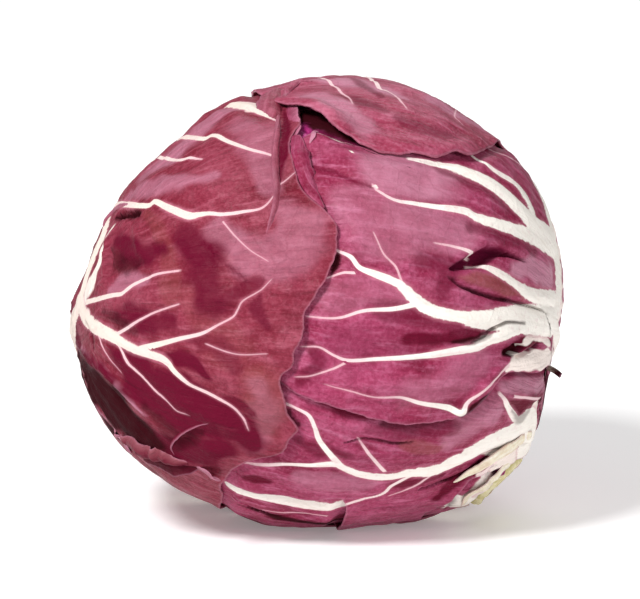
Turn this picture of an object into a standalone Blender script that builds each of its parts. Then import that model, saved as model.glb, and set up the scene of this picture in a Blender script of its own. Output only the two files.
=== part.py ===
# A round head of red chicory (radicchio), lying on its side.
#
# The head is a set of nested wrapper leaves round a tight heart, all growing from a cut stem at the lower
# right. Every surface is a height above or below one smooth body, so that neighbouring leaves keep a gap.
#
# Directions are unit vectors in the drawing frame: right, up, and near (towards the viewer). The drawing
# plane leans back by drawingTilt, as the head is seen from a little above the table it lies on.
# Outlines are points on a front-view grid: x to the right and y down, headWidth / 490 a step, with the
# head's middle at gridMiddle. The far side is drawn on the same grid, as if seen through the head, or by
# a turn about the stem's axis and an angle away from the stem.
import math

import bmesh
import bpy
import numpy as np
from mathutils import Vector, noise

# Driving dimensions, in metres and degrees
headWidth = 0.120
headHeight = 0.112
headDepth = 0.114
bladeThickness = 0.0010
leafGap = 0.0013
ribHeight = 0.0009
stemRadius = 0.0095
stemStandsOut = 0.0006
stemPit = 0.0110
flatDepth = 0.0028
drawingTilt = math.radians(12)
edgeLength = 0.0074

# Shape of the body
gridMiddle = (318, 300)
gridSteps = 490
roundness = 2.2
stemEnd = (0.705, -0.708, 0.04)
stemSwell, stemSwellSpread = 0.060, math.radians(18)
tipFlattening, tipSpread = 0.125, math.radians(38)
bodyDents = [  # bearing round the front view, depth as a share of the body, and spread, in degrees
    (52, 0.034, 24),
    (130, 0.036, 14),
    (165, 0.036, 9),
    (184, -0.034, 8),
    (239, 0.105, 12),
    (342, 0.040, 15),
    (317, -0.020, 6),
]
tuckPlateau, tuckRamp = 0.004, 0.018
marginWave, marginWaveCount = 0.0016, 13
marginLift, marginLiftWidth = 0.0014, 0.006
marginRipples, marginRippleShift = 3.1, 0.3
baseHalfAngle, baseFade = 0.35, 0.4
flatSpotRim, flatSpotSoftness, flatSpotTrim = 0.0022, 0.0006, 0.0004
midribThickening, midribHalfWidth = 0.0010, 0.0077
ribRoot, ribEdgeDepth, ribLowestCrown = 0.0010, 0.0003, 0.3
midribEnds = 0.0034, 0.0016
shortestRib, ribSegment = 0.010, 0.0075
clearOfMargin, clearOfOuterLeaf = 0.003, 0.006
heartLeafStep, heartLeafReach, heartLeafSoftness = 0.0006, 0.85, 0.12
pitWidening, pitWall = 0.0040, 0.0030
stemClearance, stemChamfer, stemShoulder = 0.0012, 0.0012, 0.0040

gridStep = headWidth / gridSteps
halfSizes = np.array([headWidth, headHeight, headDepth]) / 2
meanRadius = float(halfSizes.mean())
bodyColour = (0.30, 0.045, 0.11, 1)
drawingAxes = np.array([
    [1, 0, 0],
    [0, math.sin(drawingTilt), math.cos(drawingTilt)],
    [0, -math.cos(drawingTilt), math.sin(drawingTilt)],
])


# Directions and curves on the body
def unit(v):
    v = np.asarray(v, float)
    return v / np.linalg.norm(v, axis=-1, keepdims=True)


stemAxis = unit(stemEnd)
stemNear = unit(np.array([0, 0, 1]) - stemAxis * stemAxis[2])
stemSide = np.cross(stemNear, stemAxis)
stemSide = stemSide * np.sign(stemSide[1])


def angleTo(n, axis):
    return np.arccos(np.clip(n @ unit(axis), -1, 1))


def fullness(n):
    # How far the body reaches in each direction, as a share of its half sizes
    box = (np.abs(n) ** roundness).sum(-1) ** (-1 / roundness)
    stem = stemSwell * np.exp(-(angleTo(n, stemAxis) / stemSwellSpread) ** 2)
    tip = tipFlattening * np.exp(-(angleTo(n, -stemAxis) / tipSpread) ** 2)
    dents = 0.0
    for bearing, depth, spread in bodyDents:
        towards = (math.cos(math.radians(bearing)), math.sin(math.radians(bearing)), 0)
        dents = dents + depth * np.exp(-(angleTo(n, towards) / math.radians(spread)) ** 2)
    return box * (1 + stem - tip - dents)


def seen(x, y, side=1):
    # The direction drawn at a grid point, on the near side (1) or the far side (-1)
    flat = np.array([x - gridMiddle[0], gridMiddle[1] - y]) * gridStep / halfSizes[:2]
    reach = 1.0
    for _ in range(8):
        across = flat / reach
        across = across / max(1.0, np.linalg.norm(across) / 0.9995)
        n = unit([across[0], across[1], side * math.sqrt(1 - across @ across)])
        reach = float(fullness(n))
    return n


def far(x, y):
    return seen(x, y, -1)


def turned(turn, away):
    # The direction at a turn about the stem's axis (0 faces the viewer) and an angle away from the stem
    turn, away = math.radians(turn), math.radians(away)
    across = stemNear * math.cos(turn) + stemSide * math.sin(turn)
    return stemAxis * math.cos(away) + across * math.sin(away)


def smoothCurve(points, perSpan=12, closed=False):
    # A Catmull-Rom curve through directions
    p = np.array(points)
    count = len(p)
    spans = count if closed else count - 1
    out = []
    for i in range(spans):
        if closed:
            a, b, c, d = (p[(i + k) % count] for k in (-1, 0, 1, 2))
        else:
            b, c = p[i], p[i + 1]
            a = p[i - 1] if i else 2 * b - c
            d = p[i + 2] if i + 2 < count else 2 * c - b
        for t in np.arange(perSpan) / perSpan:
            out.append(0.5 * (2 * b + (c - a) * t + (2 * a - 5 * b + 4 * c - d) * t ** 2
                              + (3 * b - a - 3 * c + d) * t ** 3))
    if not closed:
        out.append(p[-1])
    return unit(out)


def distanceTo(n, samples):
    # Distance over the body from each direction to the nearest of some samples
    return np.arccos(np.clip((n @ samples.T).max(-1), -1, 1)) * meanRadius


def smoothStep(t):
    t = np.clip(t, 0, 1)
    return t * t * (3 - 2 * t)


# The wrapper leaves, from the innermost to the outermost
leaves = [
    dict(name="leaf_inner", centre=turned(25, 72),
         outline=[turned(-10, 11), turned(18, 12), turned(45, 11), turned(80, 38), turned(88, 75),
                  turned(75, 112), turned(40, 128), turned(0, 122), turned(-28, 100), turned(-35, 68),
                  turned(-25, 36)],
         midrib=[turned(18, 11), turned(22, 60), turned(28, 105)]),
    dict(name="leaf_back", centre=turned(205, 74),
         outline=[turned(182, 11), turned(205, 12), turned(228, 11), turned(252, 40), turned(258, 80),
                  turned(244, 118), turned(205, 138), turned(166, 126), turned(150, 95), turned(148, 60),
                  turned(162, 32)],
         midrib=[turned(205, 11), turned(207, 60), turned(203, 120)]),
    dict(name="leaf_under", centre=turned(-72, 62), edgeLength=0.0058,
         outline=[turned(-95, 11), turned(-62, 13), turned(-30, 11), seen(490, 440), seen(380, 425),
                  seen(300, 420), seen(238, 440), turned(-78, 98), turned(-96, 100), turned(-118, 88),
                  turned(-126, 60), turned(-116, 32)],
         midrib=[turned(-62, 11), seen(440, 497), seen(380, 500), seen(325, 502), seen(275, 499),
                 seen(230, 489)]),
    dict(name="leaf_bottom", centre=seen(385, 448), edgeLength=0.0050, gapUnder=0.0018,
         outline=[turned(18, 11), turned(62, 11), turned(60, 28), seen(525, 364), seen(470, 360),
                  seen(400, 358), seen(320, 362), seen(250, 385), seen(208, 425), seen(200, 465),
                  seen(223, 483), seen(262, 492), seen(300, 497), seen(336, 502), turned(-97, 42),
                  turned(-99, 32), seen(424, 511), seen(452, 490), seen(476, 472)],
         midrib=[turned(45, 11), seen(531, 416), seen(510, 429), seen(482, 443), seen(453, 457),
                 seen(415, 472), seen(386, 475), seen(344, 466), seen(300, 463), seen(250, 464)]),
    dict(name="leaf_right", centre=turned(52, 62),
         outline=[turned(35, 11), turned(68, 12), turned(100, 11), turned(125, 30), turned(142, 55),
                  turned(142, 85), turned(120, 108), seen(440, 105), seen(370, 118), seen(330, 122),
                  seen(285, 150), seen(262, 205), seen(258, 270), seen(262, 330), seen(280, 382), seen(335, 404),
                  seen(382, 418), seen(425, 421), seen(458, 411), seen(480, 396), seen(512, 366)],
         midrib=[turned(72, 11), seen(549, 352), seen(555, 318), seen(556, 285), seen(552, 248),
                 seen(543, 212), seen(526, 178), seen(500, 148)]),
    dict(name="leaf_left", centre=unit([-0.78, -0.36, -0.42]), edgeLength=0.0088,
         outline=[turned(-104, 12), turned(-86, 30), turned(-83, 50), turned(-84, 66), seen(224, 494),
                  seen(225, 477), seen(258, 457), seen(282, 449), seen(293, 432), seen(290, 405),
                  seen(283, 379), seen(295, 350), seen(306, 316), seen(325, 280), seen(336, 250),
                  seen(334, 226), seen(319, 203), seen(310, 170), seen(304, 130), seen(302, 98),
                  turned(95, 128), turned(130, 126), turned(160, 112), turned(178, 88), turned(186, 60),
                  turned(200, 32), turned(218, 12), turned(237, 13)],
         midrib=[turned(-122, 11), turned(-120, 50), turned(-112, 88), turned(-98, 118), seen(82, 300),
                 seen(96, 258), seen(108, 225), far(125, 198), far(160, 160), far(200, 132),
                 far(235, 112)]),
    dict(name="leaf_top", centre=unit([0.30, 0.62, -0.72]), edgeLength=0.0070,
         outline=[turned(138, 11), turned(126, 32), turned(112, 52), turned(101, 68), seen(505, 147),
                  seen(478, 154), seen(450, 159), seen(420, 158), seen(384, 156), seen(362, 143),
                  seen(340, 125), seen(318, 113), seen(298, 105), seen(280, 104), seen(264, 98),
                  far(250, 110), far(225, 165), turned(186, 118), turned(190, 85), turned(184, 50),
                  turned(175, 11)],
         midrib=[turned(154, 11), turned(152, 50), turned(146, 82), turned(134, 108), far(345, 92)]),
]

# Raised side ribs: leaf, first and last half width in metres, and the route from the midrib outwards
ribs = [
    ("leaf_right", 0.0030, 0.0008, [seen(548, 322), seen(500, 321), seen(463, 316), seen(415, 303),
                                    seen(382, 279), seen(345, 255)]),
    ("leaf_right", 0.0016, 0.0005, [seen(512, 332), seen(480, 344), seen(443, 354), seen(382, 358),
                                    seen(335, 362)]),
    ("leaf_right", 0.0022, 0.0005, [seen(549, 251), seen(520, 236), seen(476, 220), seen(438, 209),
                                    seen(392, 203)]),
    ("leaf_right", 0.0022, 0.0005, [seen(545, 238), seen(516, 209), seen(480, 182), seen(434, 166)]),
    ("leaf_right", 0.0018, 0.0006, [seen(552, 300), seen(530, 291), seen(492, 273)]),
    ("leaf_right", 0.0007, 0.0007, [seen(455, 406), seen(415, 400), seen(375, 395)]),
    ("leaf_bottom", 0.0010, 0.0005, [seen(345, 464), seen(319, 442), seen(312, 421), seen(296, 407)]),
    ("leaf_bottom", 0.0008, 0.0005, [seen(415, 474), seen(386, 489), seen(345, 501)]),
    ("leaf_bottom", 0.0012, 0.0005, [seen(514, 422), seen(503, 409), seen(495, 398)]),
    ("leaf_left", 0.0022, 0.0005, [seen(80, 298), seen(96, 325), seen(139, 349), seen(178, 369),
                                   seen(228, 401)]),
    ("leaf_left", 0.0010, 0.0005, [seen(160, 349), seen(184, 340), seen(206, 333)]),
    ("leaf_left", 0.0008, 0.0005, [seen(94, 298), seen(125, 293), seen(157, 275), seen(185, 273)]),
    ("leaf_left", 0.0014, 0.0005, [seen(120, 204), seen(154, 205), seen(193, 219), seen(237, 215),
                                   seen(266, 212)]),
    ("leaf_left", 0.0009, 0.0005, [seen(180, 141), seen(214, 138), seen(246, 153), seen(268, 158)]),
    ("leaf_left", 0.0012, 0.0005, [turned(-118, 62), turned(-135, 82), turned(-142, 108)]),
    ("leaf_left", 0.0012, 0.0005, [turned(-120, 42), turned(-142, 62), turned(-158, 90)]),
    ("leaf_top", 0.0008, 0.0005, [far(345, 76), seen(362, 77), seen(380, 90), seen(400, 107)]),
    ("leaf_top", 0.0008, 0.0005, [far(300, 84), seen(318, 80), seen(335, 90), seen(350, 106)]),
    ("leaf_top", 0.0014, 0.0005, [turned(150, 62), turned(130, 75), turned(118, 88)]),
    ("leaf_top", 0.0014, 0.0005, [turned(153, 45), turned(170, 68), turned(176, 98)]),
]

# Folds of the exposed blades: leaf, height and half width in metres, and the route of the fold
folds = [
    ("leaf_left", 0.0042, 0.0040, [seen(287, 96), seen(281, 130), seen(277, 170), seen(276, 205),
                                   seen(270, 226)]),
    ("leaf_left", 0.0034, 0.0042, [seen(296, 104), seen(297, 135), seen(303, 165), seen(314, 190),
                                   seen(326, 212)]),
    ("leaf_left", 0.0030, 0.0050, [seen(132, 449), seen(158, 455), seen(182, 462), seen(205, 474)]),
    ("leaf_right", 0.0026, 0.0055, [seen(545, 356), seen(503, 371), seen(462, 403), seen(425, 412),
                                    seen(385, 412)]),
    ("leaf_right", 0.0024, 0.0045, [seen(545, 312), seen(505, 292), seen(465, 276)]),
    ("leaf_top", 0.0050, 0.0110, [seen(305, 104), seen(330, 112), seen(352, 124)]),
]


# The stacked surfaces
def skin(n):
    # The outside of the finished head, in drawing axes, with the flat spot that it rests on
    point = n * halfSizes * fullness(n)[..., None]
    down = -drawingAxes[:, 2]
    low = point @ down
    excess = np.clip((low - restingDepth) / flatSpotSoftness, -40, 40)
    return point - (flatSpotSoftness * np.log1p(np.exp(excess)))[..., None] * down


def outwards(n):
    return unit(n / halfSizes)


def lowestReach():
    # The body's greatest depth below its middle, found on a fine net of downward directions
    lean = np.linspace(-0.6, 0.6, 121)
    x, y = (grid.ravel() for grid in np.meshgrid(lean, lean))
    spread = unit(np.column_stack([x, y, -np.ones_like(x)]) @ drawingAxes.T)
    return float((spread * halfSizes * fullness(spread)[:, None] @ -drawingAxes[:, 2]).max())


restingDepth = lowestReach() - flatDepth


def prepare(leaf):
    # Adds a leaf's own axes, its reach in every direction from its centre, and its sampled lines
    c = unit(leaf["centre"])
    towardsBase = unit(stemAxis - c * (c @ stemAxis))
    leaf["axes"] = np.array([towardsBase, np.cross(c, towardsBase), c])
    outline = smoothCurve(leaf["outline"], 16, closed=True)
    local = outline @ leaf["axes"].T
    bearing = np.arctan2(local[:, 1], local[:, 0])
    reach = np.arccos(np.clip(local[:, 2], -1, 1))
    order = np.argsort(bearing)
    bearing, reach = bearing[order], reach[order]
    fine = np.linspace(-math.pi, math.pi, 361)
    smooth = np.interp(fine, np.r_[bearing - 2 * math.pi, bearing, bearing + 2 * math.pi], np.tile(reach, 3))
    phase = len(leaf["name"])
    wave = np.sin(fine * marginWaveCount + phase) + 0.6 * np.sin(fine * (marginWaveCount - 4) + 2 * phase)
    awayFromBase = smoothStep((np.abs(fine) - baseHalfAngle) / baseFade)
    smooth = smooth + wave * awayFromBase * marginWave / meanRadius
    leaf["bearing"], leaf["reach"] = fine, smooth
    leaf["edge"] = fromLeafPolar(leaf, fine, smooth)
    leaf["midribLine"] = smoothCurve(leaf["midrib"], 14)
    away = angleTo(leaf["midribLine"], stemAxis)
    leaf["midribWidth"] = midribHalfWidth * (0.3 + 0.7 * np.exp(-(away / 0.9) ** 2))
    leaf["midribDepth"] = midribThickening * (0.3 + np.exp(-(away / 0.8) ** 2))


def fromLeafPolar(leaf, bearing, away):
    local = np.stack([np.sin(away) * np.cos(bearing), np.sin(away) * np.sin(bearing), np.cos(away)], -1)
    return local @ leaf["axes"]


def insideMargin(n, leaf):
    # Distance to the leaf's margin, positive inside the leaf
    local = n @ leaf["axes"].T
    limit = np.interp(np.arctan2(local[..., 1], local[..., 0]), leaf["bearing"], leaf["reach"])
    inside = np.arccos(np.clip(local[..., 2], -1, 1)) < limit
    return np.where(inside, 1, -1) * distanceTo(n, leaf["edge"])


def covering(n, leaf):
    # 1 under a leaf and just beyond its margin, falling to 0 further out
    return smoothStep((insideMargin(n, leaf) + tuckPlateau + tuckRamp) / tuckRamp)


def thickness(n, leaf):
    near = n @ leaf["midribLine"].T
    nearest = near.argmax(-1)
    gap = np.arccos(np.clip(near.max(-1), -1, 1)) * meanRadius
    return bladeThickness + leaf["midribDepth"][nearest] * np.exp(-(gap / leaf["midribWidth"][nearest]) ** 2)


def flatSpot(n):
    point = n * halfSizes * fullness(n)[..., None]
    return smoothStep((point @ -drawingAxes[:, 2] - restingDepth + flatSpotRim) / flatSpotRim)


def upperSide(n, index):
    # Height of a leaf's outer side above the finished skin
    depth, exposed = 0.0, 1.0
    for outer in leaves[index + 1:]:
        cover = covering(n, outer)
        depth = depth + cover * (outer.get("gapUnder", leafGap) + thickness(n, outer))
        exposed = exposed * (1 - cover)
    lift = 0.0
    if index >= 0:
        leaf = leaves[index]
        for name, height, halfWidth, route in folds:
            if name == leaf["name"]:
                line = smoothCurve(route, 10)
                taper = np.sin(np.linspace(0.12, math.pi - 0.12, len(line))) ** 0.5
                near = n @ line.T
                gap = np.arccos(np.clip(near.max(-1), -1, 1)) * meanRadius
                lift = lift + height * taper[near.argmax(-1)] * np.exp(-(gap / halfWidth) ** 2)
        edge = np.exp(-(insideMargin(n, leaf) / marginLiftWidth) ** 2)
        ripple = np.array([noise.noise(Vector(v) * marginRipples + Vector((index, 0, 0))) for v in n])
        lift = lift + edge * marginLift * np.clip(ripple + marginRippleShift, 0, 1)
    return lift * exposed * (1 - flatSpot(n)) - depth


def place(n, height):
    # Drawing directions and heights to world positions, with the flat spot's middle at the origin
    point = (skin(n) + outwards(n) * height[..., None]) @ drawingAxes
    point = point - restingPoint
    return np.column_stack([point[:, 0], point[:, 1], np.maximum(point[:, 2], 0)])


restingPoint = (-drawingAxes[:, 2] * (restingDepth - flatSpotTrim)) @ drawingAxes


# Objects
def material(name, colour, roughness):
    made = bpy.data.materials.new(name)
    made.use_nodes = True
    shader = made.node_tree.nodes["Principled BSDF"]
    shader.inputs["Base Color"].default_value = colour
    shader.inputs["Roughness"].default_value = roughness
    made.diffuse_color = colour
    return made


def addObject(name, mesh, collection, look):
    made = bpy.data.objects.new(name, mesh)
    mesh.materials.append(look)
    mesh.shade_smooth()
    mesh.set_sharp_from_angle(angle=math.radians(40))
    collection.objects.link(made)
    return made


def slab(name, columns, rows, shape):
    # A closed sheet: a grid extruded once, both sides then placed by shape(u, v, outer)
    mesh = bpy.data.meshes.new(name)
    sheet = bmesh.new()
    bmesh.ops.create_grid(sheet, x_segments=columns, y_segments=rows, size=1)
    inner = list(sheet.verts)
    bmesh.ops.extrude_face_region(sheet, geom=list(sheet.faces), use_keep_orig=True)
    sheet.verts.index_update()
    innerIndex = {v.index for v in inner}
    flat = np.array([v.co[:2] for v in sheet.verts])
    outer = np.array([v.index not in innerIndex for v in sheet.verts])
    for vert, point in zip(sheet.verts, shape(flat[:, 0], flat[:, 1], outer)):
        vert.co = point
    bmesh.ops.triangulate(sheet, faces=list(sheet.faces), quad_method="FIXED")
    bmesh.ops.recalc_face_normals(sheet, faces=list(sheet.faces))
    sheet.to_mesh(mesh)
    sheet.free()
    return mesh


def leafShape(index):
    leaf = leaves[index]

    def shape(u, v, outer):
        x, y = u * np.sqrt(1 - v * v / 2), v * np.sqrt(1 - u * u / 2)
        bearing = np.arctan2(y, x)
        away = np.hypot(x, y) * np.interp(bearing, leaf["bearing"], leaf["reach"])
        n = fromLeafPolar(leaf, bearing, away)
        return place(n, upperSide(n, index) - np.where(outer, 0, thickness(n, leaf)))

    return shape


def ribShape(index, line, first, last):
    tangent = unit(np.gradient(line, axis=0))
    sideways = unit(np.cross(line, tangent))

    def shape(u, v, outer):
        along = (u + 1) / 2
        at = along * (len(line) - 1)
        centre = np.column_stack([np.interp(at, range(len(line)), line[:, k]) for k in range(3)])
        across = np.column_stack([np.interp(at, range(len(line)), sideways[:, k]) for k in range(3)])
        width = first + (last - first) * along
        n = unit(centre + across * (v * width / meanRadius)[:, None])
        crown = ribHeight * (0.45 + 0.55 * width / first) * np.clip(1.2 - along ** 6, ribLowestCrown, 1)
        height = np.where(outer, crown * (1 - np.abs(v)) - ribEdgeDepth * np.abs(v), -ribRoot)
        return place(n, upperSide(n, index) + height)

    return shape


def exposedPart(line, index):
    # The longest stretch of a route that no outer leaf reaches over
    clear = insideMargin(line, leaves[index]) > clearOfMargin
    for outer in leaves[index + 1:]:
        clear &= insideMargin(line, outer) < -clearOfOuterLeaf
    runs, start = [], None
    for i, free in enumerate(list(clear) + [False]):
        if free and start is None:
            start = i
        if not free and start is not None:
            runs.append((start, i))
            start = None
    first, last = max(runs, key=lambda run: run[1] - run[0], default=(0, 0))
    return line[first:last]


def fillPockets(mesh):
    # Removes the small closed pockets that a union can leave between a rib and its blade
    whole = bmesh.new()
    whole.from_mesh(mesh)
    unseen = set(whole.verts)
    shells = []
    while unseen:
        waiting = [unseen.pop()]
        shell = set(waiting)
        while waiting:
            for edge in waiting.pop().link_edges:
                for vert in edge.verts:
                    if vert in unseen:
                        unseen.discard(vert)
                        shell.add(vert)
                        waiting.append(vert)
        shells.append(shell)
    shells.sort(key=len)
    for shell in shells[:-1]:
        bmesh.ops.delete(whole, geom=list(shell), context="VERTS")
    whole.to_mesh(mesh)
    whole.free()


def joinRibs(leafObject, index, look):
    # The leaf's raised ribs, joined to its blade by one union
    pieces = bpy.data.collections.new(leafObject.name + "_ribs")
    bpy.context.scene.collection.children.link(pieces)
    routes = [(*midribEnds, leaves[index]["midribLine"])]
    routes += [(first, last, smoothCurve(route, 10)) for name, first, last, route in ribs
               if name == leafObject.name]
    for number, (first, last, line) in enumerate(routes):
        line = exposedPart(line, index)
        length = len(line) and float(np.linalg.norm(np.diff(line, axis=0), axis=1).sum()) * meanRadius
        if length < shortestRib:
            continue
        mesh = slab("rib", max(3, round(length / ribSegment)), 2, ribShape(index, line, first, last))
        addObject(f"{leafObject.name}_rib_{number}", mesh, pieces, look)
    if not pieces.objects:
        bpy.data.collections.remove(pieces)
        return
    union = leafObject.modifiers.new("ribs", "BOOLEAN")
    union.operation, union.operand_type, union.solver = "UNION", "COLLECTION", "MANIFOLD"
    union.collection = pieces
    graph = bpy.context.evaluated_depsgraph_get()
    joined = bpy.data.meshes.new_from_object(leafObject.evaluated_get(graph))
    fillPockets(joined)
    leafObject.modifiers.clear()
    leafObject.data = joined
    for piece in list(pieces.objects):
        bpy.data.objects.remove(piece)
    bpy.data.collections.remove(pieces)


def makeLeaf(index, collection, look):
    leaf = leaves[index]
    along = np.interp([0, math.pi / 2], leaf["bearing"], leaf["reach"])
    opposite = np.interp([math.pi, -math.pi / 2], leaf["bearing"], leaf["reach"])
    size = (along + opposite) * meanRadius
    step = leaf.get("edgeLength", edgeLength)
    columns, rows = (max(6, round(float(s) / step)) for s in size)
    made = addObject(leaf["name"], slab(leaf["name"], columns, rows, leafShape(index)), collection, look)
    joinRibs(made, index, look)


def makeHeart(collection, look):
    # The tight inner head: a ball whose surface shows the margins of the leaves packed in it
    ball = bmesh.new()
    bmesh.ops.create_icosphere(ball, subdivisions=4, radius=1)
    n = unit([v.co for v in ball.verts])
    beyondLeaf = (angleTo(n, turned(turn, 70)) - heartLeafReach for turn in (10, 130, 250))
    layer = sum(heartLeafStep * smoothStep(0.5 + away / heartLeafSoftness) for away in beyondLeaf)
    fromStem = angleTo(n, stemAxis) * meanRadius
    pit = stemPit * smoothStep((stemRadius + pitWidening - fromStem) / pitWall)
    height = upperSide(n, -1) - leafGap - layer - pit
    for vert, point in zip(ball.verts, place(n, height)):
        vert.co = point
    mesh = bpy.data.meshes.new("heart")
    ball.to_mesh(mesh)
    ball.free()
    addObject("heart", mesh, collection, look)


def makeStem(collection, look):
    # The cut stem: a turned stub from the heart's surface to just outside the leaf bases
    outside = stemAxis * float(np.linalg.norm(skin(stemAxis[None])[0])) + stemAxis * stemStandsOut
    length = stemPit + stemStandsOut - leafGap - stemClearance
    profile = [(0, length), (stemRadius * 0.80, length), (stemRadius * 0.97, length - stemChamfer),
               (stemRadius, length - stemShoulder), (stemRadius * 0.94, length * 0.4), (stemRadius * 0.86, 0),
               (0, 0)]
    mesh = bpy.data.meshes.new("stem")
    mesh.from_pydata([(r, 0, z) for r, z in profile], [(i, i + 1) for i in range(len(profile) - 1)], [])
    stem = addObject("stem", mesh, collection, look)
    screw = stem.modifiers.new("turn", "SCREW")
    screw.steps = screw.render_steps = 20
    screw.use_merge_vertices, screw.merge_threshold = True, 0.00005
    direction = Vector(stemAxis @ drawingAxes)
    stem.rotation_mode = "QUATERNION"
    stem.rotation_quaternion = direction.to_track_quat("Z", "Y")
    stem.location = Vector(outside @ drawingAxes - restingPoint) - direction * length


def main():
    for thing in list(bpy.data.objects):
        bpy.data.objects.remove(thing)
    collection = bpy.data.collections.new("radicchio_head")
    bpy.context.scene.collection.children.link(collection)
    leafLook = material("red_leaf", bodyColour, 0.45)
    heartLook = material("inner_leaves", (0.24, 0.02, 0.10, 1), 0.40)
    stemLook = material("cut_stem", (0.78, 0.72, 0.45, 1), 0.60)
    for leaf in leaves:
        prepare(leaf)
    makeHeart(collection, heartLook)
    makeStem(collection, stemLook)
    for index in range(len(leaves)):
        makeLeaf(index, collection, leafLook)


main()
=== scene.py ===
# The looks of a round head of red chicory that lies on its side: wrapper leaves with raised ribs and folds
import math

import bmesh
import bpy
import numpy as np
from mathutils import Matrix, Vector, noise


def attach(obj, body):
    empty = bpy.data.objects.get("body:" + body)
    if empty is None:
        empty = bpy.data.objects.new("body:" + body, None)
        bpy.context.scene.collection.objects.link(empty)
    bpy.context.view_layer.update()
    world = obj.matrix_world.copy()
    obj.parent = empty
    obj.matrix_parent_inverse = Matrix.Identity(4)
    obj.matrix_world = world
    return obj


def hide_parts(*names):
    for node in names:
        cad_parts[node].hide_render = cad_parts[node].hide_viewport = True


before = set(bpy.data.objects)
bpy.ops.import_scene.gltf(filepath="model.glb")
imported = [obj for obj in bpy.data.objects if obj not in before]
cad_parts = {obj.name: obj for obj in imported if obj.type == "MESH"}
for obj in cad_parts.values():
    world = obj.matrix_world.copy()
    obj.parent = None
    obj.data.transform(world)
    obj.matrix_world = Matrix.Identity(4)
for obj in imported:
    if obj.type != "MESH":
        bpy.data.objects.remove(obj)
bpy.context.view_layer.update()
print("frame loaded with", len(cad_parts), "nodes")

mm = 0.001


# The smooth body that every leaf lies on
body = {
    "width": 0.120,
    "height": 0.112,
    "depth": 0.114,
    "roundness": 2.2,
    "stemEnd": (0.705, -0.708, 0.04),
    "stemSwell": 0.060,
    "stemSwellSpread": math.radians(18),
    "tipFlattening": 0.125,
    "tipSpread": math.radians(38),
    "flatDepth": 2.8 * mm,
    "flatSpotRim": 2.2 * mm,
    "flatSpotSoftness": 0.6 * mm,
    "flatSpotTrim": 0.4 * mm,
    "dents": [  # bearing round the front view, depth as a share of the body, and spread, in degrees
        (52, 0.034, 24),
        (130, 0.036, 14),
        (165, 0.036, 9),
        (184, -0.034, 8),
        (239, 0.105, 12),
        (342, 0.040, 15),
        (317, -0.020, 6),
    ],
    "waveHeight": 0.7 * mm,  # broad waves that all the leaves share
    "waveLength": 26 * mm,
}
# The front view's grid: its middle, its steps across the body's width, and its tilt
drawing = {"middle": (318, 300), "steps": 490, "tilt": math.radians(12)}
layers = {
    "blade": 0.5 * mm,
    "gap": 0.35 * mm,
    "plateau": 0.5 * mm,  # how far past an outer margin a leaf stays pressed down
    "ramp": 3.5 * mm,
}

gridStep = body["width"] / drawing["steps"]
halfSizes = np.array([body["width"], body["height"], body["depth"]]) / 2
meanRadius = float(halfSizes.mean())
tiltSine, tiltCosine = math.sin(drawing["tilt"]), math.cos(drawing["tilt"])
drawingAxes = np.array([[1, 0, 0], [0, tiltSine, tiltCosine], [0, -tiltCosine, tiltSine]])
down = -drawingAxes[:, 2]


# In every function n is a direction from the middle of the body, or an array of them
def unit(v):
    v = np.asarray(v, float)
    return v / np.linalg.norm(v, axis=-1, keepdims=True)


stemAxis = unit(body["stemEnd"])
stemNear = unit(np.array([0, 0, 1]) - stemAxis * stemAxis[2])
stemSide = np.cross(stemNear, stemAxis)
stemSide = stemSide * np.sign(stemSide[1])


def angleTo(n, axis):
    return np.arccos(np.clip(n @ unit(axis), -1, 1))


def fullness(n):
    box = (np.abs(n) ** body["roundness"]).sum(-1) ** (-1 / body["roundness"])
    stem = body["stemSwell"] * np.exp(-(angleTo(n, stemAxis) / body["stemSwellSpread"]) ** 2)
    tip = body["tipFlattening"] * np.exp(-(angleTo(n, -stemAxis) / body["tipSpread"]) ** 2)
    dents = 0.0
    for bearing, depth, spread in body["dents"]:
        towards = (math.cos(math.radians(bearing)), math.sin(math.radians(bearing)), 0)
        dents = dents + depth * np.exp(-(angleTo(n, towards) / math.radians(spread)) ** 2)
    return box * (1 + stem - tip - dents)


def seen(x, y, side=1):
    # The direction drawn at a point of the front view's grid, on the near side or the far side
    middle = drawing["middle"]
    flat = np.array([x - middle[0], middle[1] - y]) * gridStep / halfSizes[:2]
    reach = 1.0
    for _ in range(8):
        across = flat / reach
        across = across / max(1.0, np.linalg.norm(across) / 0.9995)
        n = unit([across[0], across[1], side * math.sqrt(1 - across @ across)])
        reach = float(fullness(n))
    return n


def far(x, y):
    return seen(x, y, -1)


def turned(turn, away):
    # The direction at a turn about the stem's axis, where 0 faces the viewer, and an angle away from the stem
    turn, away = math.radians(turn), math.radians(away)
    across = stemNear * math.cos(turn) + stemSide * math.sin(turn)
    return stemAxis * math.cos(away) + across * math.sin(away)


def smoothCurve(points, perSpan=12, closed=False):
    p = np.array([seen(*q) if len(q) == 2 else q for q in points])
    count = len(p)
    out = []
    for i in range(count if closed else count - 1):
        if closed:
            a, b, c, d = (p[(i + k) % count] for k in (-1, 0, 1, 2))
        else:
            b, c = p[i], p[i + 1]
            a = p[i - 1] if i else 2 * b - c
            d = p[i + 2] if i + 2 < count else 2 * c - b
        t = (np.arange(perSpan) / perSpan)[:, None]
        out.append(0.5 * (2 * b + (c - a) * t + (2 * a - 5 * b + 4 * c - d) * t ** 2
                          + (3 * b - a - 3 * c + d) * t ** 3))
    if not closed:
        out.append(p[-1:])
    return unit(np.vstack(out))


def smoothStep(t):
    t = np.clip(t, 0, 1)
    return t * t * (3 - 2 * t)


def alongRoute(values, count):
    # One value or a few values in mm, spread evenly over the samples of a route, in metres
    values = np.atleast_1d(values)
    return np.interp(np.linspace(0, 1, count), np.linspace(0, 1, len(values)), values) * mm


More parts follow.
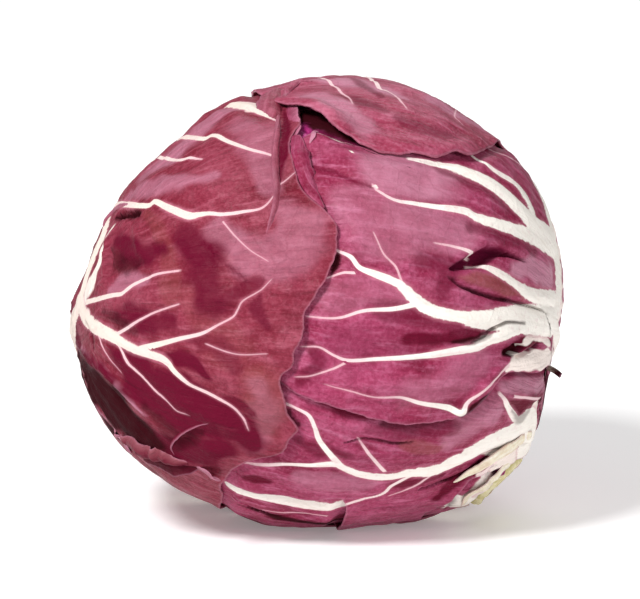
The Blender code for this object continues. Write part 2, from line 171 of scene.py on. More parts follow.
def nearest(n, samples, halfWidths=None):
    # For each direction the nearest sample, and the distance to it less that sample's half width
    samples = samples.astype(np.float32)
    halves = np.zeros(len(samples), np.float32) if halfWidths is None else halfWidths.astype(np.float32)
    index = np.empty(len(n), int)
    away = np.empty(len(n))
    for start in range(0, len(n), 4096):
        part = slice(start, start + 4096)
        dots = n[part].astype(np.float32) @ samples.T
        gaps = np.sqrt(np.maximum(2 - 2 * dots, 0)) * meanRadius - halves
        index[part] = gaps.argmin(1)
        away[part] = gaps.min(1)
    return index, away


def roughness(points, wave, seed=0):
    # Smooth noise from -1 to 1 at points in metres, with features about a wave across
    shifted = np.asarray(points) / wave + seed * 7.31
    return np.array([noise.noise(p) for p in shifted.tolist()])


def bodyWaves(n):
    return body["waveHeight"] * roughness(n * meanRadius, body["waveLength"], 3)


def spotUnder(n):
    # 1 on the flat spot underneath, where nothing stands out
    point = n * halfSizes * fullness(n)[..., None]
    return smoothStep((point @ down - restingDepth + body["flatSpotRim"]) / body["flatSpotRim"])


def lowestReach():
    lean = np.linspace(-0.6, 0.6, 121)
    x, y = (grid.ravel() for grid in np.meshgrid(lean, lean))
    spread = unit(np.column_stack([x, y, -np.ones_like(x)]) @ drawingAxes.T)
    return float((spread * halfSizes * fullness(spread)[:, None] @ down).max())


restingDepth = lowestReach() - body["flatDepth"]
restingPoint = (down * (restingDepth - body["flatSpotTrim"])) @ drawingAxes


def skin(n):
    # The outside of the finished head, in the drawing's axes
    point = n * halfSizes * fullness(n)[..., None]
    excess = np.clip((point @ down - restingDepth) / body["flatSpotSoftness"], -40, 40)
    return point - (body["flatSpotSoftness"] * np.log1p(np.exp(excess)))[..., None] * down


def place(n, height):
    # World positions of points at a height above the skin
    height = height + bodyWaves(n) * (1 - spotUnder(n))
    point = (skin(n) + unit(n / halfSizes) * height[..., None]) @ drawingAxes - restingPoint
    return np.column_stack([point[:, 0], point[:, 1], np.maximum(point[:, 2], 0.0)])


# The leaves, from the innermost to the outermost. Every point of a route or an outline is a direction, or a
# place on the front view's grid. Veins have full widths in mm, spread evenly along the route. Folds have a
# height and the half widths of their left and right sides in mm, slits a depth and half widths in mm, and
# stains and painted light and shade a kind, a strength and half widths in mm. Dark, deep and crimson marks
# along tears, slits and creases are painted shade, and whitish marks on ridges are partly painted highlight.
# Segments are the leaf's grid faces each way, and dense moves the middle of that grid.
innerLeaf = {
    "name": "inner_leaf", "node": "leaf_inner", "look": "inner", "segments": (90, 90),
    "centre": turned(25, 72), "root": turned(20, 5),
    "outline": [turned(-10, 11), turned(18, 12), turned(45, 11), turned(80, 38), turned(88, 75),
                turned(75, 112), turned(40, 128), turned(0, 122), turned(-28, 100), turned(-35, 68),
                turned(-25, 36)],
    "veins": [
        ([5, 3, 1], [turned(18, 11), turned(22, 60), turned(28, 90)]),
    ],
    "folds": [
        (-4.5, 3.6, 3.6, [(300, 112), (312, 124), (330, 131), (350, 140)]),
    ],
    # The dark mark is painted shade in the hollow under the top leaf's margin.
    "stainsAndPaintedLight": [
        ("dark", 1, [2, 3.2, 2.6, 0.8], [(300, 112), (314, 119), (334, 127), (362, 143)]),
        ("crimson", 0.5, 2.2, [(318, 136), (336, 138), (356, 144)]),
    ],
}
backLeaf = {
    "name": "back_leaf", "node": "leaf_back", "look": "left", "segments": (100, 100),
    "centre": turned(205, 74), "root": turned(205, 5),
    "outline": [turned(182, 11), turned(205, 12), turned(228, 11), turned(252, 40), turned(258, 80),
                turned(244, 118), turned(205, 138), turned(166, 126), turned(150, 95), turned(148, 60),
                turned(162, 32)],
    "veins": [
        ([9, 6, 4, 2], [turned(205, 11), turned(206, 36), turned(207, 60), turned(203, 120)]),
        ([3, 1.5, 0.6], [turned(206, 30), turned(222, 52), turned(236, 84)]),
        ([3, 1.5, 0.6], [turned(206, 24), turned(185, 45), turned(170, 70)]),
    ],
}
underTear = [(476, 473), (462, 485), (453, 495), (445, 507)]
underLeaf = {
    "name": "under_leaf", "node": "leaf_under", "look": "right", "segments": (150, 150),
    "centre": turned(-72, 62), "root": turned(-72, 5),
    "outline": [turned(-95, 11), turned(-62, 13), turned(-30, 11), (490, 440), (380, 425), (300, 420),
                (238, 440), turned(-78, 98), turned(-96, 100), turned(-118, 88), turned(-126, 60),
                turned(-116, 32)],
    "veins": [
        ([7, 5, 4, 3.6, 4.4, 3],
         [turned(-62, 11), (440, 500), (380, 502), (325, 505), (285, 499), (230, 486)]),
        ([2, 2, 2, 1.6], [(522, 452), (490, 470), (470, 490), (447, 505)]),
        ([0.6, 0.4], [(330, 512), (262, 508)]),
    ],
    "folds": [
        (1, 1.4, 1.4, [(520, 458), (496, 470), (476, 488), (456, 503)]),
        (0.8, 1.6, 1.6, [(300, 516), (350, 514), (400, 508)]),
    ],
    "slits": [
        (1.2, [0.2, 0.5, 0.4, 0.2], underTear),
        (1, [0.2, 0.4, 0.3], [(225, 489), (262, 510), (290, 514)]),
    ],
    # The dark marks along the tear and under the rib's edge are painted shade.
    "stainsAndPaintedLight": [
        ("pale", 1, [1, 2.4, 3, 2.4], [(524, 452), (500, 468), (482, 482), (462, 500)]),
        ("dark", 0.9, [0.3, 0.8, 0.8, 0.3], underTear),
        ("dark", 0.8, [0.4, 1.4, 1.4, 0.6], [(240, 503), (290, 517), (335, 521), (380, 516)]),
        ("crimson", 0.8, [1, 2, 2, 1.2], [(270, 514), (320, 518), (370, 514), (410, 508)]),
    ],
}
bottomTear = [(490, 452), (478, 462), (464, 472), (446, 480), (420, 487)]
bottomLowerTear = [(492, 462), (477, 474), (460, 488), (446, 502)]
bottomCrease = [(344, 440), (366, 436), (392, 440), (410, 439)]
bottomLeaf = {
    "name": "bottom_leaf", "node": "leaf_bottom", "look": "right", "segments": (220, 170),
    "centre": unit([0.37, -0.5, 0.78]), "root": seen(552, 395),
    "outline": [turned(18, 11), turned(70, 11), turned(96, 16), turned(98, 28), (540, 352), (500, 352),
                (455, 356), (400, 358), (320, 362), (250, 385), (208, 425), (200, 465), (223, 481),
                (262, 489), (310, 497), (345, 500), turned(-97, 42), turned(-99, 32), (424, 511),
                (452, 490), (476, 472)],
    "veins": [
        ([8, 7.5, 6.5, 5.6, 5.2, 4.9, 4.2, 3.2, 2.6, 2.3, 2.1, 2, 1.3, 1, 0.5],
         [turned(45, 11), (524, 421), (508, 433), (485, 442), (468, 452), (453, 460), (432, 469),
          (410, 471), (386, 475), (363, 473), (344, 466), (335, 462), (310, 463), (284, 463), (247, 463)]),
        ([1.6, 1.2, 1, 0.9, 0.6], [(337, 460), (320, 439), (315, 425), (308, 412), (288, 404)]),
        ([0.9, 0.7, 0.4], [(382, 467), (366, 448), (358, 437)]),
        ([2.4, 1.5, 0.8], [(516, 423), (505, 407), (496, 393)]),
        ([0.7, 0.7], [(507, 393), (538, 396)]),
        ([1.1, 1, 1, 0.9, 0.8, 0.6],
         [(407, 476), (391, 485), (380, 492), (350, 500), (330, 506), (315, 513)]),
        ([0.7, 0.6, 0.5, 0.4], [(426, 477), (414, 485), (401, 490), (391, 493)]),
        ([0.9, 1, 0.9, 0.8], [(490, 462), (475, 473), (455, 490), (425, 512)]),
    ],
    "folds": [
        (1, 1.6, 1.6, [(500, 458), (480, 470), (460, 484), (438, 500)]),
        (0.8, 1.2, 0.6, [(426, 420), (437, 427)]),
        (0.8, 3, 3, [(440, 430), (470, 415), (495, 400)]),
        (0.7, 2.4, 2.4, [(350, 445), (385, 452), (420, 445)]),
        (0.8, 2, 2, [(280, 478), (330, 483), (372, 487)]),
        (0.9, 1.2, 2.4, [(488, 398), (506, 394), (526, 393), (542, 392)]),
        (1, 1.6, 1, [(533, 404), (530, 422), (524, 442)]),
        (0.8, 2.4, 2.4, [(330, 408), (370, 418), (410, 424)]),
    ],
    "slits": [
        (1.6, [0.2, 0.5, 0.6, 0.5, 0.3], bottomTear),
        (1.4, [0.2, 0.4, 0.4, 0.3], bottomLowerTear),
        (1, [0.1, 0.2, 0.2, 0.1], bottomCrease),
        (1.2, [0.2, 0.4, 0.3], [(536, 398), (535, 420), (529, 442)]),
        (1, [0.2, 0.3, 0.2], [(522, 441), (505, 447), (489, 449)]),
    ],
    # The dark marks along the tears, the slits and the crease, and the dark and crimson band under the right
    # leaf's margin, are painted shade; the whitish marks are partly painted highlight.
    "stainsAndPaintedLight": [
        ("pale", 1, [2.4, 3, 3.4, 2.6, 1.6], [(532, 406), (526, 424), (512, 436), (496, 446), (484, 450)]),
        ("pale", 0.95, [0.8, 2, 2.4, 2], [(476, 472), (492, 464), (508, 456), (524, 446)]),
        ("dark", 0.9, [0.4, 0.9, 0.9, 0.5], [(538, 397), (537, 420), (533, 440), (528, 450)]),
        ("crimson", 0.85, [0.6, 2, 2.4, 2], [(498, 398), (512, 404), (524, 402), (536, 400)]),
        ("dark", 0.55, [0.5, 1.2, 0.6], [(508, 409), (516, 417), (526, 409)]),
        ("dark", 0.9, [0.3, 0.6, 0.8, 0.7, 0.4], bottomTear),
        ("dark", 0.85, [0.3, 0.5, 0.6, 0.4], bottomLowerTear),
        ("crimson", 0.85, [0.8, 1.6, 1.6, 0.8], [(486, 458), (470, 470), (452, 482), (434, 496)]),
        ("dark", 0.6, [0.2, 0.35, 0.4, 0.2], bottomCrease),
        ("dark", 0.4, [0.8, 1.6, 1.8, 1.2, 0.5],
         [(380, 423), (404, 422), (428, 419), (448, 416), (462, 409)]),
        ("crimson", 0.4, [1.4, 2.2, 2.4, 1.6], [(370, 426), (400, 428), (430, 427), (452, 426)]),
        ("crimson", 0.7, [1.4, 2.4, 2], [(310, 390), (340, 404), (372, 414)]),
        ("crimson", 0.55, [1, 2, 1.4], [(300, 440), (320, 448), (345, 452)]),
        ("crimson", 0.6, [1, 1.6, 1], [(396, 484), (420, 480), (440, 474)]),
        ("olive", 0.4, [1, 2, 1.6, 0.6], [(402, 441), (416, 442), (432, 446), (442, 440)]),
        ("crimson", 0.8, 0.9, [(238, 447), (254, 449)]),
        ("crimson", 0.85, [0.8, 1.4, 0.9], [(246, 476), (256, 477), (269, 480)]),
        ("highlightAndBloom", 0.4, [2, 4, 4, 2], [(446, 440), (464, 426), (484, 412), (496, 404)]),
        ("highlightAndBloom", 0.6, [1.4, 2.2, 1.6], [(500, 386), (520, 384), (540, 384)]),
        ("highlightAndBloom", 0.35, [2, 3, 2], [(300, 475), (340, 480), (370, 482)]),
        ("dark", 0.6, 0.5, [(289, 409), (292, 417), (299, 424)]),
    ],
}
rightPocket = [(448, 271), (458, 267), (470, 263), (482, 257), (494, 253), (507, 256), (521, 262)]
rightNotch = [(500, 351), (507, 349), (516, 346)]
rightLowerNotch = [(511, 356), (522, 351), (535, 345)]
rightEdgeTear = [(331, 276), (336, 264), (338, 255)]
rightLeaf = {
    "name": "right_leaf", "node": "leaf_right", "look": "right", "segments": (222, 222),
    "centre": unit([0.74, 0.2, 0.64]), "root": far(556, 330),
    "outline": [turned(136, 15), turned(150, 16), turned(147, 36), turned(142, 55), turned(142, 85),
                turned(120, 108), (440, 105), (398, 138), (372, 148), (352, 146), (336, 141), (318, 139),
                (290, 152), (262, 205), (258, 270), (262, 330), (280, 382), (335, 404), (382, 418),
                (425, 421), (458, 411), (480, 392), (503, 371), (526, 372), (546, 368)],
    "veins": [
        ([7, 6, 5.5, 5, 4.4, 3.6, 2.4, 1.6],
         [turned(140, 16), turned(112, 30), (553, 330), (555, 290), (552, 250), (545, 215), (530, 180),
          (510, 155)]),
        ([8, 6.5, 5, 4.5, 3.4, 2.2, 0.9],
         [(549, 243), (533, 228), (516, 209), (491, 188), (463, 174), (434, 165), (411, 160)]),
        ([2.8, 2.4, 2, 1.6, 1], [(530, 213), (520, 195), (510, 184), (491, 172), (474, 157)]),
        ([0.8, 0.7, 0.6, 0.5, 0.4], [(547, 203), (537, 184), (528, 172), (510, 161), (491, 149)]),
        ([5, 4.2, 3.3, 2.4, 1.9, 1.4, 1.1, 0.8, 0.6, 0.4],
         [(549, 251), (526, 237), (501, 228), (476, 220), (463, 213), (438, 209), (415, 206), (392, 203),
          (376, 194), (373, 190)]),
        ([1, 0.8, 0.6, 0.4], [(470, 256), (462, 252), (450, 248), (435, 245)]),
        ([7.8, 7.3, 5.4, 3.9, 2.9, 2.9, 3.2, 3.1, 2.2, 1.7, 1.2, 1, 0.6],
         [(549, 322), (520, 319), (491, 320), (470, 319), (455, 316), (441, 314), (425, 308), (415, 302),
          (396, 285), (376, 276), (359, 269), (350, 258), (336, 251)]),
        ([1.3, 1.1, 0.8, 0.6, 0.4], [(415, 304), (392, 309), (363, 311), (338, 318), (310, 317)]),
        ([0.5, 0.5, 0.4, 0.3], [(399, 281), (394, 268), (382, 255), (373, 237)]),
        ([0.7, 0.6, 0.4], [(351, 274), (342, 274), (329, 278)]),
        ([2.9, 2.6, 2.2, 1.8, 1.4, 1.2, 1, 0.8, 0.6, 0.5, 0.3],
         [(520, 326), (487, 338), (470, 346), (450, 350), (420, 355), (400, 357), (382, 358), (350, 360),
          (334, 355), (319, 347), (304, 347)]),
        ([0.6, 0.5, 0.4, 0.3], [(345, 362), (329, 369), (311, 375), (300, 376)]),
        ([0.7, 0.7, 0.7, 0.8, 1.4, 1.5, 1.2, 1, 0.7, 0.4, 0.35, 0.2],
         [(500, 365), (487, 377), (470, 391), (461, 400), (456, 409), (446, 406), (432, 403), (414, 400),
          (397, 395), (374, 395), (350, 389), (328, 384)]),
        ([4.4, 3.8, 3.3, 2.6, 2, 1.4, 0.8],
         [(550, 300), (532, 296), (520, 291), (507, 282), (495, 274), (485, 269), (475, 267)]),
    ],
    "folds": [
        (1.3, 2.2, 1, [(446, 275), (460, 278), (474, 282), (487, 286), (500, 290), (516, 296), (536, 303)]),
        (0.9, 2, 2, [(440, 260), (458, 254), (474, 246), (488, 240), (505, 244), (525, 256)]),
        (1, 1.4, 2.6, [(462, 346), (476, 341), (490, 336), (505, 333), (524, 333)]),
        (1.1, 1.6, 1, [(495, 340), (510, 347), (524, 343), (538, 336)]),
        (1.3, 2.8, 1.2, [(540, 356), (503, 362), (482, 379), (466, 396), (450, 412)]),
        (0.9, 1.6, 1, [(500, 386), (486, 392), (470, 402), (456, 413)]),
        (0.7, 3.6, 3.6, [(330, 200), (370, 205), (420, 228), (470, 240)]),
        (0.8, 3.6, 3.6, [(350, 232), (400, 250), (440, 280)]),
        (0.7, 3.2, 3.2, [(345, 295), (380, 295), (405, 300)]),
        (0.8, 3.4, 3.4, [(330, 335), (380, 335), (430, 335), (465, 332)]),
        (0.9, 3.4, 3.4, [(330, 400), (380, 380), (430, 378), (470, 372)]),
        (0.7, 2.6, 2.6, [(420, 180), (460, 193), (500, 212)]),
        (-0.6, 1, 1, [(313, 171), (334, 174), (347, 181), (370, 190)]),
        (0.8, 1, 1, [(318, 142), (340, 144), (366, 150)]),
    ],
    "slits": [
        (4, [0.2, 0.9, 1.6, 1.9, 1.1, 0.6, 0.2], rightPocket),
        (1.6, [0.15, 0.35, 0.5, 0.5, 0.4, 0.35, 0.3, 0.2],
         [(446, 278), (456, 286), (470, 292), (487, 297), (505, 301), (525, 306), (542, 312), (556, 322)]),
        (1.3, [0.2, 0.5, 0.4, 0.3, 0.25, 0.15],
         [(468, 341), (480, 336), (486, 330), (495, 325), (504, 322), (520, 323)]),
        (2.2, [0.6, 1.5, 0.7], rightNotch),
        (1.6, [0.3, 0.5, 0.4], rightLowerNotch),
        (1.4, [0.2, 0.4, 0.3], [(503, 372), (520, 372), (545, 371)]),
        (1.4, [0.3, 0.8, 0.5], rightEdgeTear),
    ],
    # The deep mark in the tear's hole and the dark marks along the slits, notches and folded edges are
    # painted shade, and so is the crimson line along the crease near the top; the whitish marks are partly
    # painted highlight.
    "stainsAndPaintedLight": [
        ("pale", 1, [1.5, 2.8, 3.2, 3, 3], [(543, 200), (552, 235), (556, 270), (556, 310), (553, 335)]),
        ("pale", 1, [0.3, 2, 2.6, 2.6], [(498, 366), (512, 362), (530, 359), (548, 359)]),
        ("pale", 0.8, [0.5, 1.2, 1.2], [(515, 345), (530, 336), (546, 342)]),
        ("deep", 1, [0.3, 1, 1.7, 2, 1.2, 0.7, 0.3], rightPocket),
        ("dark", 0.65, [0.25, 0.4, 0.5, 0.5, 0.4, 0.3],
         [(446, 278), (456, 286), (470, 292), (487, 297), (512, 302), (542, 312)]),
        ("olive", 0.5, [0.6, 1.8, 1.8, 0.8], [(456, 279), (475, 280), (495, 287), (518, 296)]),
        ("crimson", 0.75, 1.6, [(405, 338), (440, 337), (470, 333), (490, 328)]),
        ("dark", 0.8, [0.4, 1, 0.9, 0.3], [(448, 341), (468, 340), (482, 334), (492, 327)]),
        ("dark", 0.5, 0.5, [(495, 325), (504, 322), (520, 323)]),
        ("crimson", 0.9, [1.4, 1.6, 1.2], [(502, 349), (520, 343), (540, 338)]),
        ("dark", 0.95, [0.8, 1.5, 0.7], rightNotch),
        ("dark", 0.85, 0.5, rightLowerNotch),
        ("dark", 0.8, [0.4, 0.9, 0.9, 0.3], [(497, 384), (484, 391), (468, 402), (452, 415)]),
        ("dark", 0.85, [0.4, 0.9, 0.6], rightEdgeTear),
        ("crimson", 0.45, 0.5, [(300, 168), (313, 171), (334, 174), (347, 181), (370, 190)]),
        ("crimson", 0.55, [1, 2, 1.5], [(310, 345), (318, 362), (300, 380)]),
        ("crimson", 0.45, 2.4, [(420, 262), (445, 268), (440, 290)]),
        ("crimson", 0.45, 1.8, [(470, 228), (500, 240), (530, 250)]),
        ("crimson", 0.4, 2, [(440, 172), (480, 190), (515, 215)]),
        ("crimson", 0.45, 2.4, [(380, 312), (420, 318), (450, 325)]),
        ("highlightAndBloom", 0.55, [5, 7, 5], [(372, 172), (400, 178), (440, 182)]),
        ("highlightAndBloom", 0.3, [4, 7, 6], [(345, 200), (370, 225), (400, 240)]),
        ("highlightAndBloom", 0.4, 5, [(395, 215), (430, 228), (460, 235)]),
        ("highlightAndBloom", 0.2, 4, [(330, 300), (370, 292), (395, 298)]),
        ("crimson", 0.25, 4, [(340, 340), (380, 342), (420, 345)]),
        ("highlightAndBloom", 0.2, 4, [(470, 360), (440, 385), (410, 392)]),
        ("highlightAndBloom", 0.9, [1.4, 2.8, 3], [(512, 270), (530, 270), (545, 278)]),
        ("pale", 1, [1, 2, 2.4, 2.4], [(566, 215), (572, 250), (572, 290), (566, 330)]),
        ("pale", 0.5, [0.3, 0.5, 0.3], [(318, 140), (340, 143), (366, 148)]),
        ("pale", 0.9, 0.4, [(350, 155), (352, 157)]),
        ("pale", 0.9, 0.4, [(373, 189), (375, 191)]),
    ],
}
leftRidge = [(86, 366), (94, 390), (104, 412), (114, 424)]
leftSplit = [(90, 321), (94, 332), (98, 347)]
leftLeaf = {
    "name": "left_leaf", "node": "leaf_left", "look": "left", "segments": (222, 222), "dense": (-0.3, 0.35),
    "centre": unit([-0.83, 0.24, -0.5]), "root": seen(80, 302), "flow": -turned(-110, 92),
    "outline": [turned(-104, 12), turned(-86, 30), turned(-83, 50), turned(-84, 66), (224, 494), (222, 484),
                (232, 470), (245, 460), (262, 455), (282, 449), (292, 433), (299, 424), (290, 413),
                (287, 401), (282, 375), (293, 366), (296, 351), (303, 333), (305, 316), (314, 298),
                (325, 280), (335, 255), (337, 232), (331, 220), (324, 213), (313, 204), (304, 193),
                (299, 185), (294, 164), (290, 150), (294, 138), (301, 130), (299, 107), (298, 98),
                turned(95, 128), turned(130, 126), turned(160, 112), turned(178, 88), turned(186, 60),
                turned(200, 32), turned(218, 12), turned(237, 13)],
    "veins": [
        ([12, 9, 7, 6, 5.4, 5, 4, 3.4, 2.8, 2.4, 1.6, 1],
         [turned(-122, 11), turned(-120, 50), turned(-112, 88), turned(-98, 118), (82, 300), (96, 258),
          (108, 225), far(125, 198), far(160, 160), far(200, 132), far(235, 112), far(262, 104)]),
        ([5.4, 4, 3.2, 2.5, 2.2, 1.7, 1.2, 0.9, 0.8, 0.7, 0.6, 0.5, 0.3],
         [(80, 300), (95, 324), (112, 334), (127, 343), (139, 349), (166, 358), (180, 371), (195, 383),
          (210, 391), (225, 399), (237, 407), (246, 418), (249, 425)]),
        ([1.6, 1.2, 1, 0.8, 0.5, 0.45, 0.4, 0.35, 0.3, 0.2],
         [(146, 348), (169, 342), (184, 338), (205, 333), (220, 325), (235, 317), (240, 310), (246, 301),
          (262, 291), (271, 282)]),
        ([0.35, 0.3, 0.2], [(211, 344), (229, 351), (246, 354), (266, 353)]),
        ([1.3, 1.1, 1, 0.9, 0.8, 0.7, 0.6, 0.5],
         [(90, 303), (115, 296), (125, 294), (135, 286), (145, 281), (150, 279), (160, 275), (181, 272)]),
        ([0.9, 0.7, 0.6, 0.5, 0.4], [(120, 334), (135, 325), (145, 319), (159, 312), (181, 305)]),
        ([0.6, 0.4, 0.2], [(102, 334), (109, 350), (125, 371)]),
        ([0.8, 0.7, 0.7, 0.6, 0.5, 0.4, 0.3],
         [(120, 341), (133, 362), (145, 374), (158, 388), (170, 398), (180, 408), (188, 411)]),
        ([1.7, 1.6, 1.4, 1.3, 1.6, 1.9, 1.3, 1, 0.9, 0.8, 0.5, 0.25],
         [(112, 207), (128, 206), (150, 208), (158, 204), (171, 210), (191, 218), (202, 217), (212, 216),
          (225, 217), (245, 215), (265, 211), (279, 193)]),
        ([0.4, 0.3, 0.2], [(226, 225), (237, 238), (252, 252), (268, 262)]),
        ([1.2, 1, 0.8, 0.5], [(150, 165), (175, 162), (193, 161), (202, 162)]),
        ([1.7, 1.5, 1.3, 1.1, 1, 0.8, 0.6],
         [(179, 141), (202, 141), (214, 138), (229, 145), (245, 151), (256, 155), (270, 158)]),
        ([3.6, 3.4, 1.8, 0.5], [(232, 108), (248, 110), (262, 116), (277, 124)]),
        ([0.4, 0.3, 0.2], [(281, 186), (288, 182), (294, 178)]),
        ([3, 2.4, 1.6, 0.8], [turned(-118, 62), turned(-128, 74), turned(-138, 92), turned(-142, 108)]),
        ([3.4, 2.6, 1.6, 0.8], [turned(-120, 42), turned(-134, 54), turned(-148, 72), turned(-158, 90)]),
        ([3, 2.4, 1.6, 0.8], [turned(-120, 38), turned(-108, 50), turned(-100, 66), turned(-95, 80)]),
    ],
    "folds": [
        (-1.2, 1.5, 1.5, [(285, 108), (286, 130), (285, 150), (282, 170), (281, 188)]),
        (-0.9, 0.8, 1.2, [(201, 242), (212, 252), (222, 262), (243, 277), (252, 289)]),
        (0.8, 1.4, 2.2, [(205, 238), (216, 248), (230, 259), (250, 274)]),
        (0.9, 3, 3, [(130, 190), (165, 185), (205, 190), (245, 190)]),
        (0.8, 3.4, 3.4, [(140, 235), (175, 240), (205, 262), (235, 300)]),
        (0.9, 3, 3, [(135, 305), (165, 292), (200, 290)]),
        (0.8, 3.2, 3.2, [(180, 320), (215, 300), (255, 300)]),
        (0.9, 3.4, 3.4, [(190, 352), (235, 375), (262, 405)]),
        (0.9, 2.4, 2.4, [(150, 372), (180, 395), (215, 412), (240, 432)]),
        (1.4, 1.2, 1.6, [(78, 340), (90, 354), (108, 368), (125, 384), (138, 398), (150, 413)]),
        (-1.4, 2.6, 2.6, [(100, 378), (115, 396), (132, 414), (152, 432)]),
        (0.8, 0.6, 0.6, leftRidge),
        (0.7, 2.4, 2.4, [(255, 235), (275, 255), (290, 280), (290, 310)]),
        (0.6, 2, 2, [(285, 340), (268, 370), (268, 400), (275, 430)]),
        (0.6, 2.4, 2.4, [(190, 432), (215, 445), (240, 448)]),
        (0.7, 2, 2, [(160, 128), (190, 120), (225, 118), (255, 128)]),
        (-1.2, 2, 2, [(183, 440), (192, 437), (200, 432)]),
        (-0.8, 1.2, 1.6, [(150, 226), (156, 244), (166, 262)]),
        (0.9, 1.6, 1.2, [(138, 226), (142, 246), (150, 264)]),
        (1, 1, 1, [(120, 226), (110, 244), (108, 262), (109, 280), (100, 292)]),
    ],
    "slits": [
        (2, [0.6, 1.3, 0.9, 0.4], [(119, 217), (125, 217), (133, 216), (142, 216)]),
        (1, [0.15, 0.3, 0.2], leftSplit),
        (1.4, [0.3, 0.6, 0.3], [(112, 252), (113, 266), (110, 280)]),
    ],
    # The dark marks in the pocket, the splits and beside the frill, and the crimson lines along the knot's
    # valley and the crease below it, are painted shade; the large dark patch at the lower left follows the
    # deep fold there. The whitish marks on the ridges and the upper left are partly painted highlight, and
    # the pale mark along the upper left rib is painted sheen.
    "stainsAndPaintedLight": [
        ("pale", 1, [1.6, 3, 3, 2], [(88, 282), (84, 296), (84, 306), (90, 316)]),
        ("pale", 0.95, [0.5, 1, 1.4, 2.4, 2.8], [(118, 226), (108, 244), (103, 262), (98, 278), (90, 292)]),
        ("dark", 0.9, [0.8, 1.3, 1], [(119, 217), (127, 217), (142, 216)]),
        ("dark", 0.95, [1.6, 6.5, 7.5, 6, 2], [(80, 356), (95, 384), (113, 404), (136, 424), (160, 440)]),
        ("dark", 0.85, [0.8, 2.4, 2.6, 1.6], [(76, 356), (86, 386), (100, 412), (120, 436)]),
        ("dark", 0.4, [0.4, 1.6, 1.8, 1], [far(82, 362), far(96, 395), far(110, 418), far(130, 440)]),
        ("dark", 0.4, [1, 2.2, 2.2, 1], [(150, 405), (168, 424), (184, 436), (198, 436)]),
        ("crimson", 1, [1.4, 5.4, 7, 5.6, 3.4],
         [(116, 350), (142, 374), (168, 394), (194, 412), (214, 424)]),
        ("crimson", 0.95, [1.5, 3.2, 3, 1.4], [(166, 372), (186, 382), (204, 398), (230, 412)]),
        ("crimson", 0.9, [0.8, 2, 1.6, 0.6], [(168, 356), (184, 358), (200, 364), (214, 376)]),
        ("crimson", 0.8, [0.8, 1.6, 1.2], [(84, 350), (100, 362), (120, 378)]),
        ("crimson", 0.8, [2, 4.4, 3], [(206, 426), (236, 424), (252, 440)]),
        ("crimson", 0.95, [2, 4.4, 4, 2], [(146, 428), (172, 444), (200, 448), (232, 444)]),
        ("crimson", 0.7, [0.6, 1.6, 1], [(226, 396), (242, 402), (254, 410)]),
        ("crimson", 0.75, [1.2, 2, 1.6], [(72, 306), (77, 326), (84, 346)]),
        ("dark", 0.8, 0.35, leftSplit),
        ("dark", 0.45, [0.8, 2.2, 1.8, 0.6], [(114, 250), (120, 262), (132, 268), (148, 262)]),
        ("crimson", 0.8, [1.6, 3.6, 3, 1.6], [(120, 240), (130, 252), (146, 258), (166, 250)]),
        ("crimson", 0.7, [1.4, 3, 3.2, 1.6], [(120, 318), (134, 314), (150, 322), (176, 322)]),
        ("dark", 0.45, [0.8, 1.6, 1.2], [(106, 312), (118, 318), (138, 332)]),
        ("crimson", 0.7, [3, 5, 4], [(190, 240), (206, 262), (214, 300)]),
        ("crimson", 0.55, [0.8, 1.8, 1], [(262, 296), (258, 310), (268, 326)]),
        ("crimson", 0.5, [1, 2, 1.2], [(228, 300), (246, 290), (262, 282)]),
        ("crimson", 0.45, [1.6, 2.6, 1.6], [(196, 336), (220, 346), (240, 366)]),
        ("highlightAndBloom", 0.4, [1, 2.4, 2, 0.8], [(112, 292), (124, 284), (138, 280), (150, 282)]),
        ("highlightAndBloom", 0.55, [1, 1.2, 1, 0.5], [(80, 342), (92, 356), (110, 370), (128, 388)]),
        ("highlightAndBloom", 0.75, [0.4, 0.8, 0.6, 0.3], [(108, 368), (125, 384), (138, 398), (150, 413)]),
        ("highlightAndBloom", 0.6, [0.3, 0.4, 0.3], leftRidge),
        ("highlightAndBloom", 0.4, [0.15, 0.3, 0.15], [(94, 372), (106, 390), (120, 410), (130, 426)]),
        ("highlightAndBloom", 0.35, [0.15, 0.25, 0.15], [(104, 398), (112, 414), (122, 430)]),
        ("crimson", 0.7, [0.4, 0.8, 0.4], [(100, 380), (114, 394), (128, 412)]),
        ("highlightAndBloom", 0.45, [3, 5, 4, 2], [(150, 176), (180, 152), (215, 122), (246, 110)]),
        ("highlightAndBloom", 0.4, [1, 3, 2, 1], [(128, 200), (160, 190), (190, 186), (220, 180)]),
        ("highlightAndBloom", 0.3, [3, 5, 3], [(240, 130), (262, 145), (270, 185)]),
        ("highlightAndBloom", 0.3, [3, 6, 6], [(288, 215), (300, 236), (282, 262)]),
        ("highlightAndBloom", 0.3, [3, 5, 5], [(220, 235), (240, 246), (258, 262)]),
        ("olive", 0.2, [1, 2, 3, 3], [(150, 214), (162, 230), (172, 262), (176, 296)]),
        ("olive", 0.15, [3, 5, 5], [(196, 300), (216, 330), (236, 350)]),
        ("olive", 0.25, [3, 5, 4], [(262, 372), (268, 396), (262, 424)]),
        ("highlightAndBloom", 0.2, [2, 4, 3], [(262, 382), (266, 408), (256, 440)]),
        ("crimson", 0.8, [0.3, 1.1, 1.3, 1, 0.4],
         [(284, 110), (286, 128), (285, 148), (282, 168), (279, 184)]),
        ("dark", 0.45, [0.6, 2, 1.8, 0.8], [(180, 448), (186, 440), (194, 434), (204, 430)]),
        ("crimson", 0.5, 0.6, [(201, 242), (222, 262), (243, 277), (252, 289)]),
        ("pale", 0.85, [0.3, 2, 2.4, 1.4], [(230, 109), (243, 108), (254, 110), (264, 114)]),
    ],
}
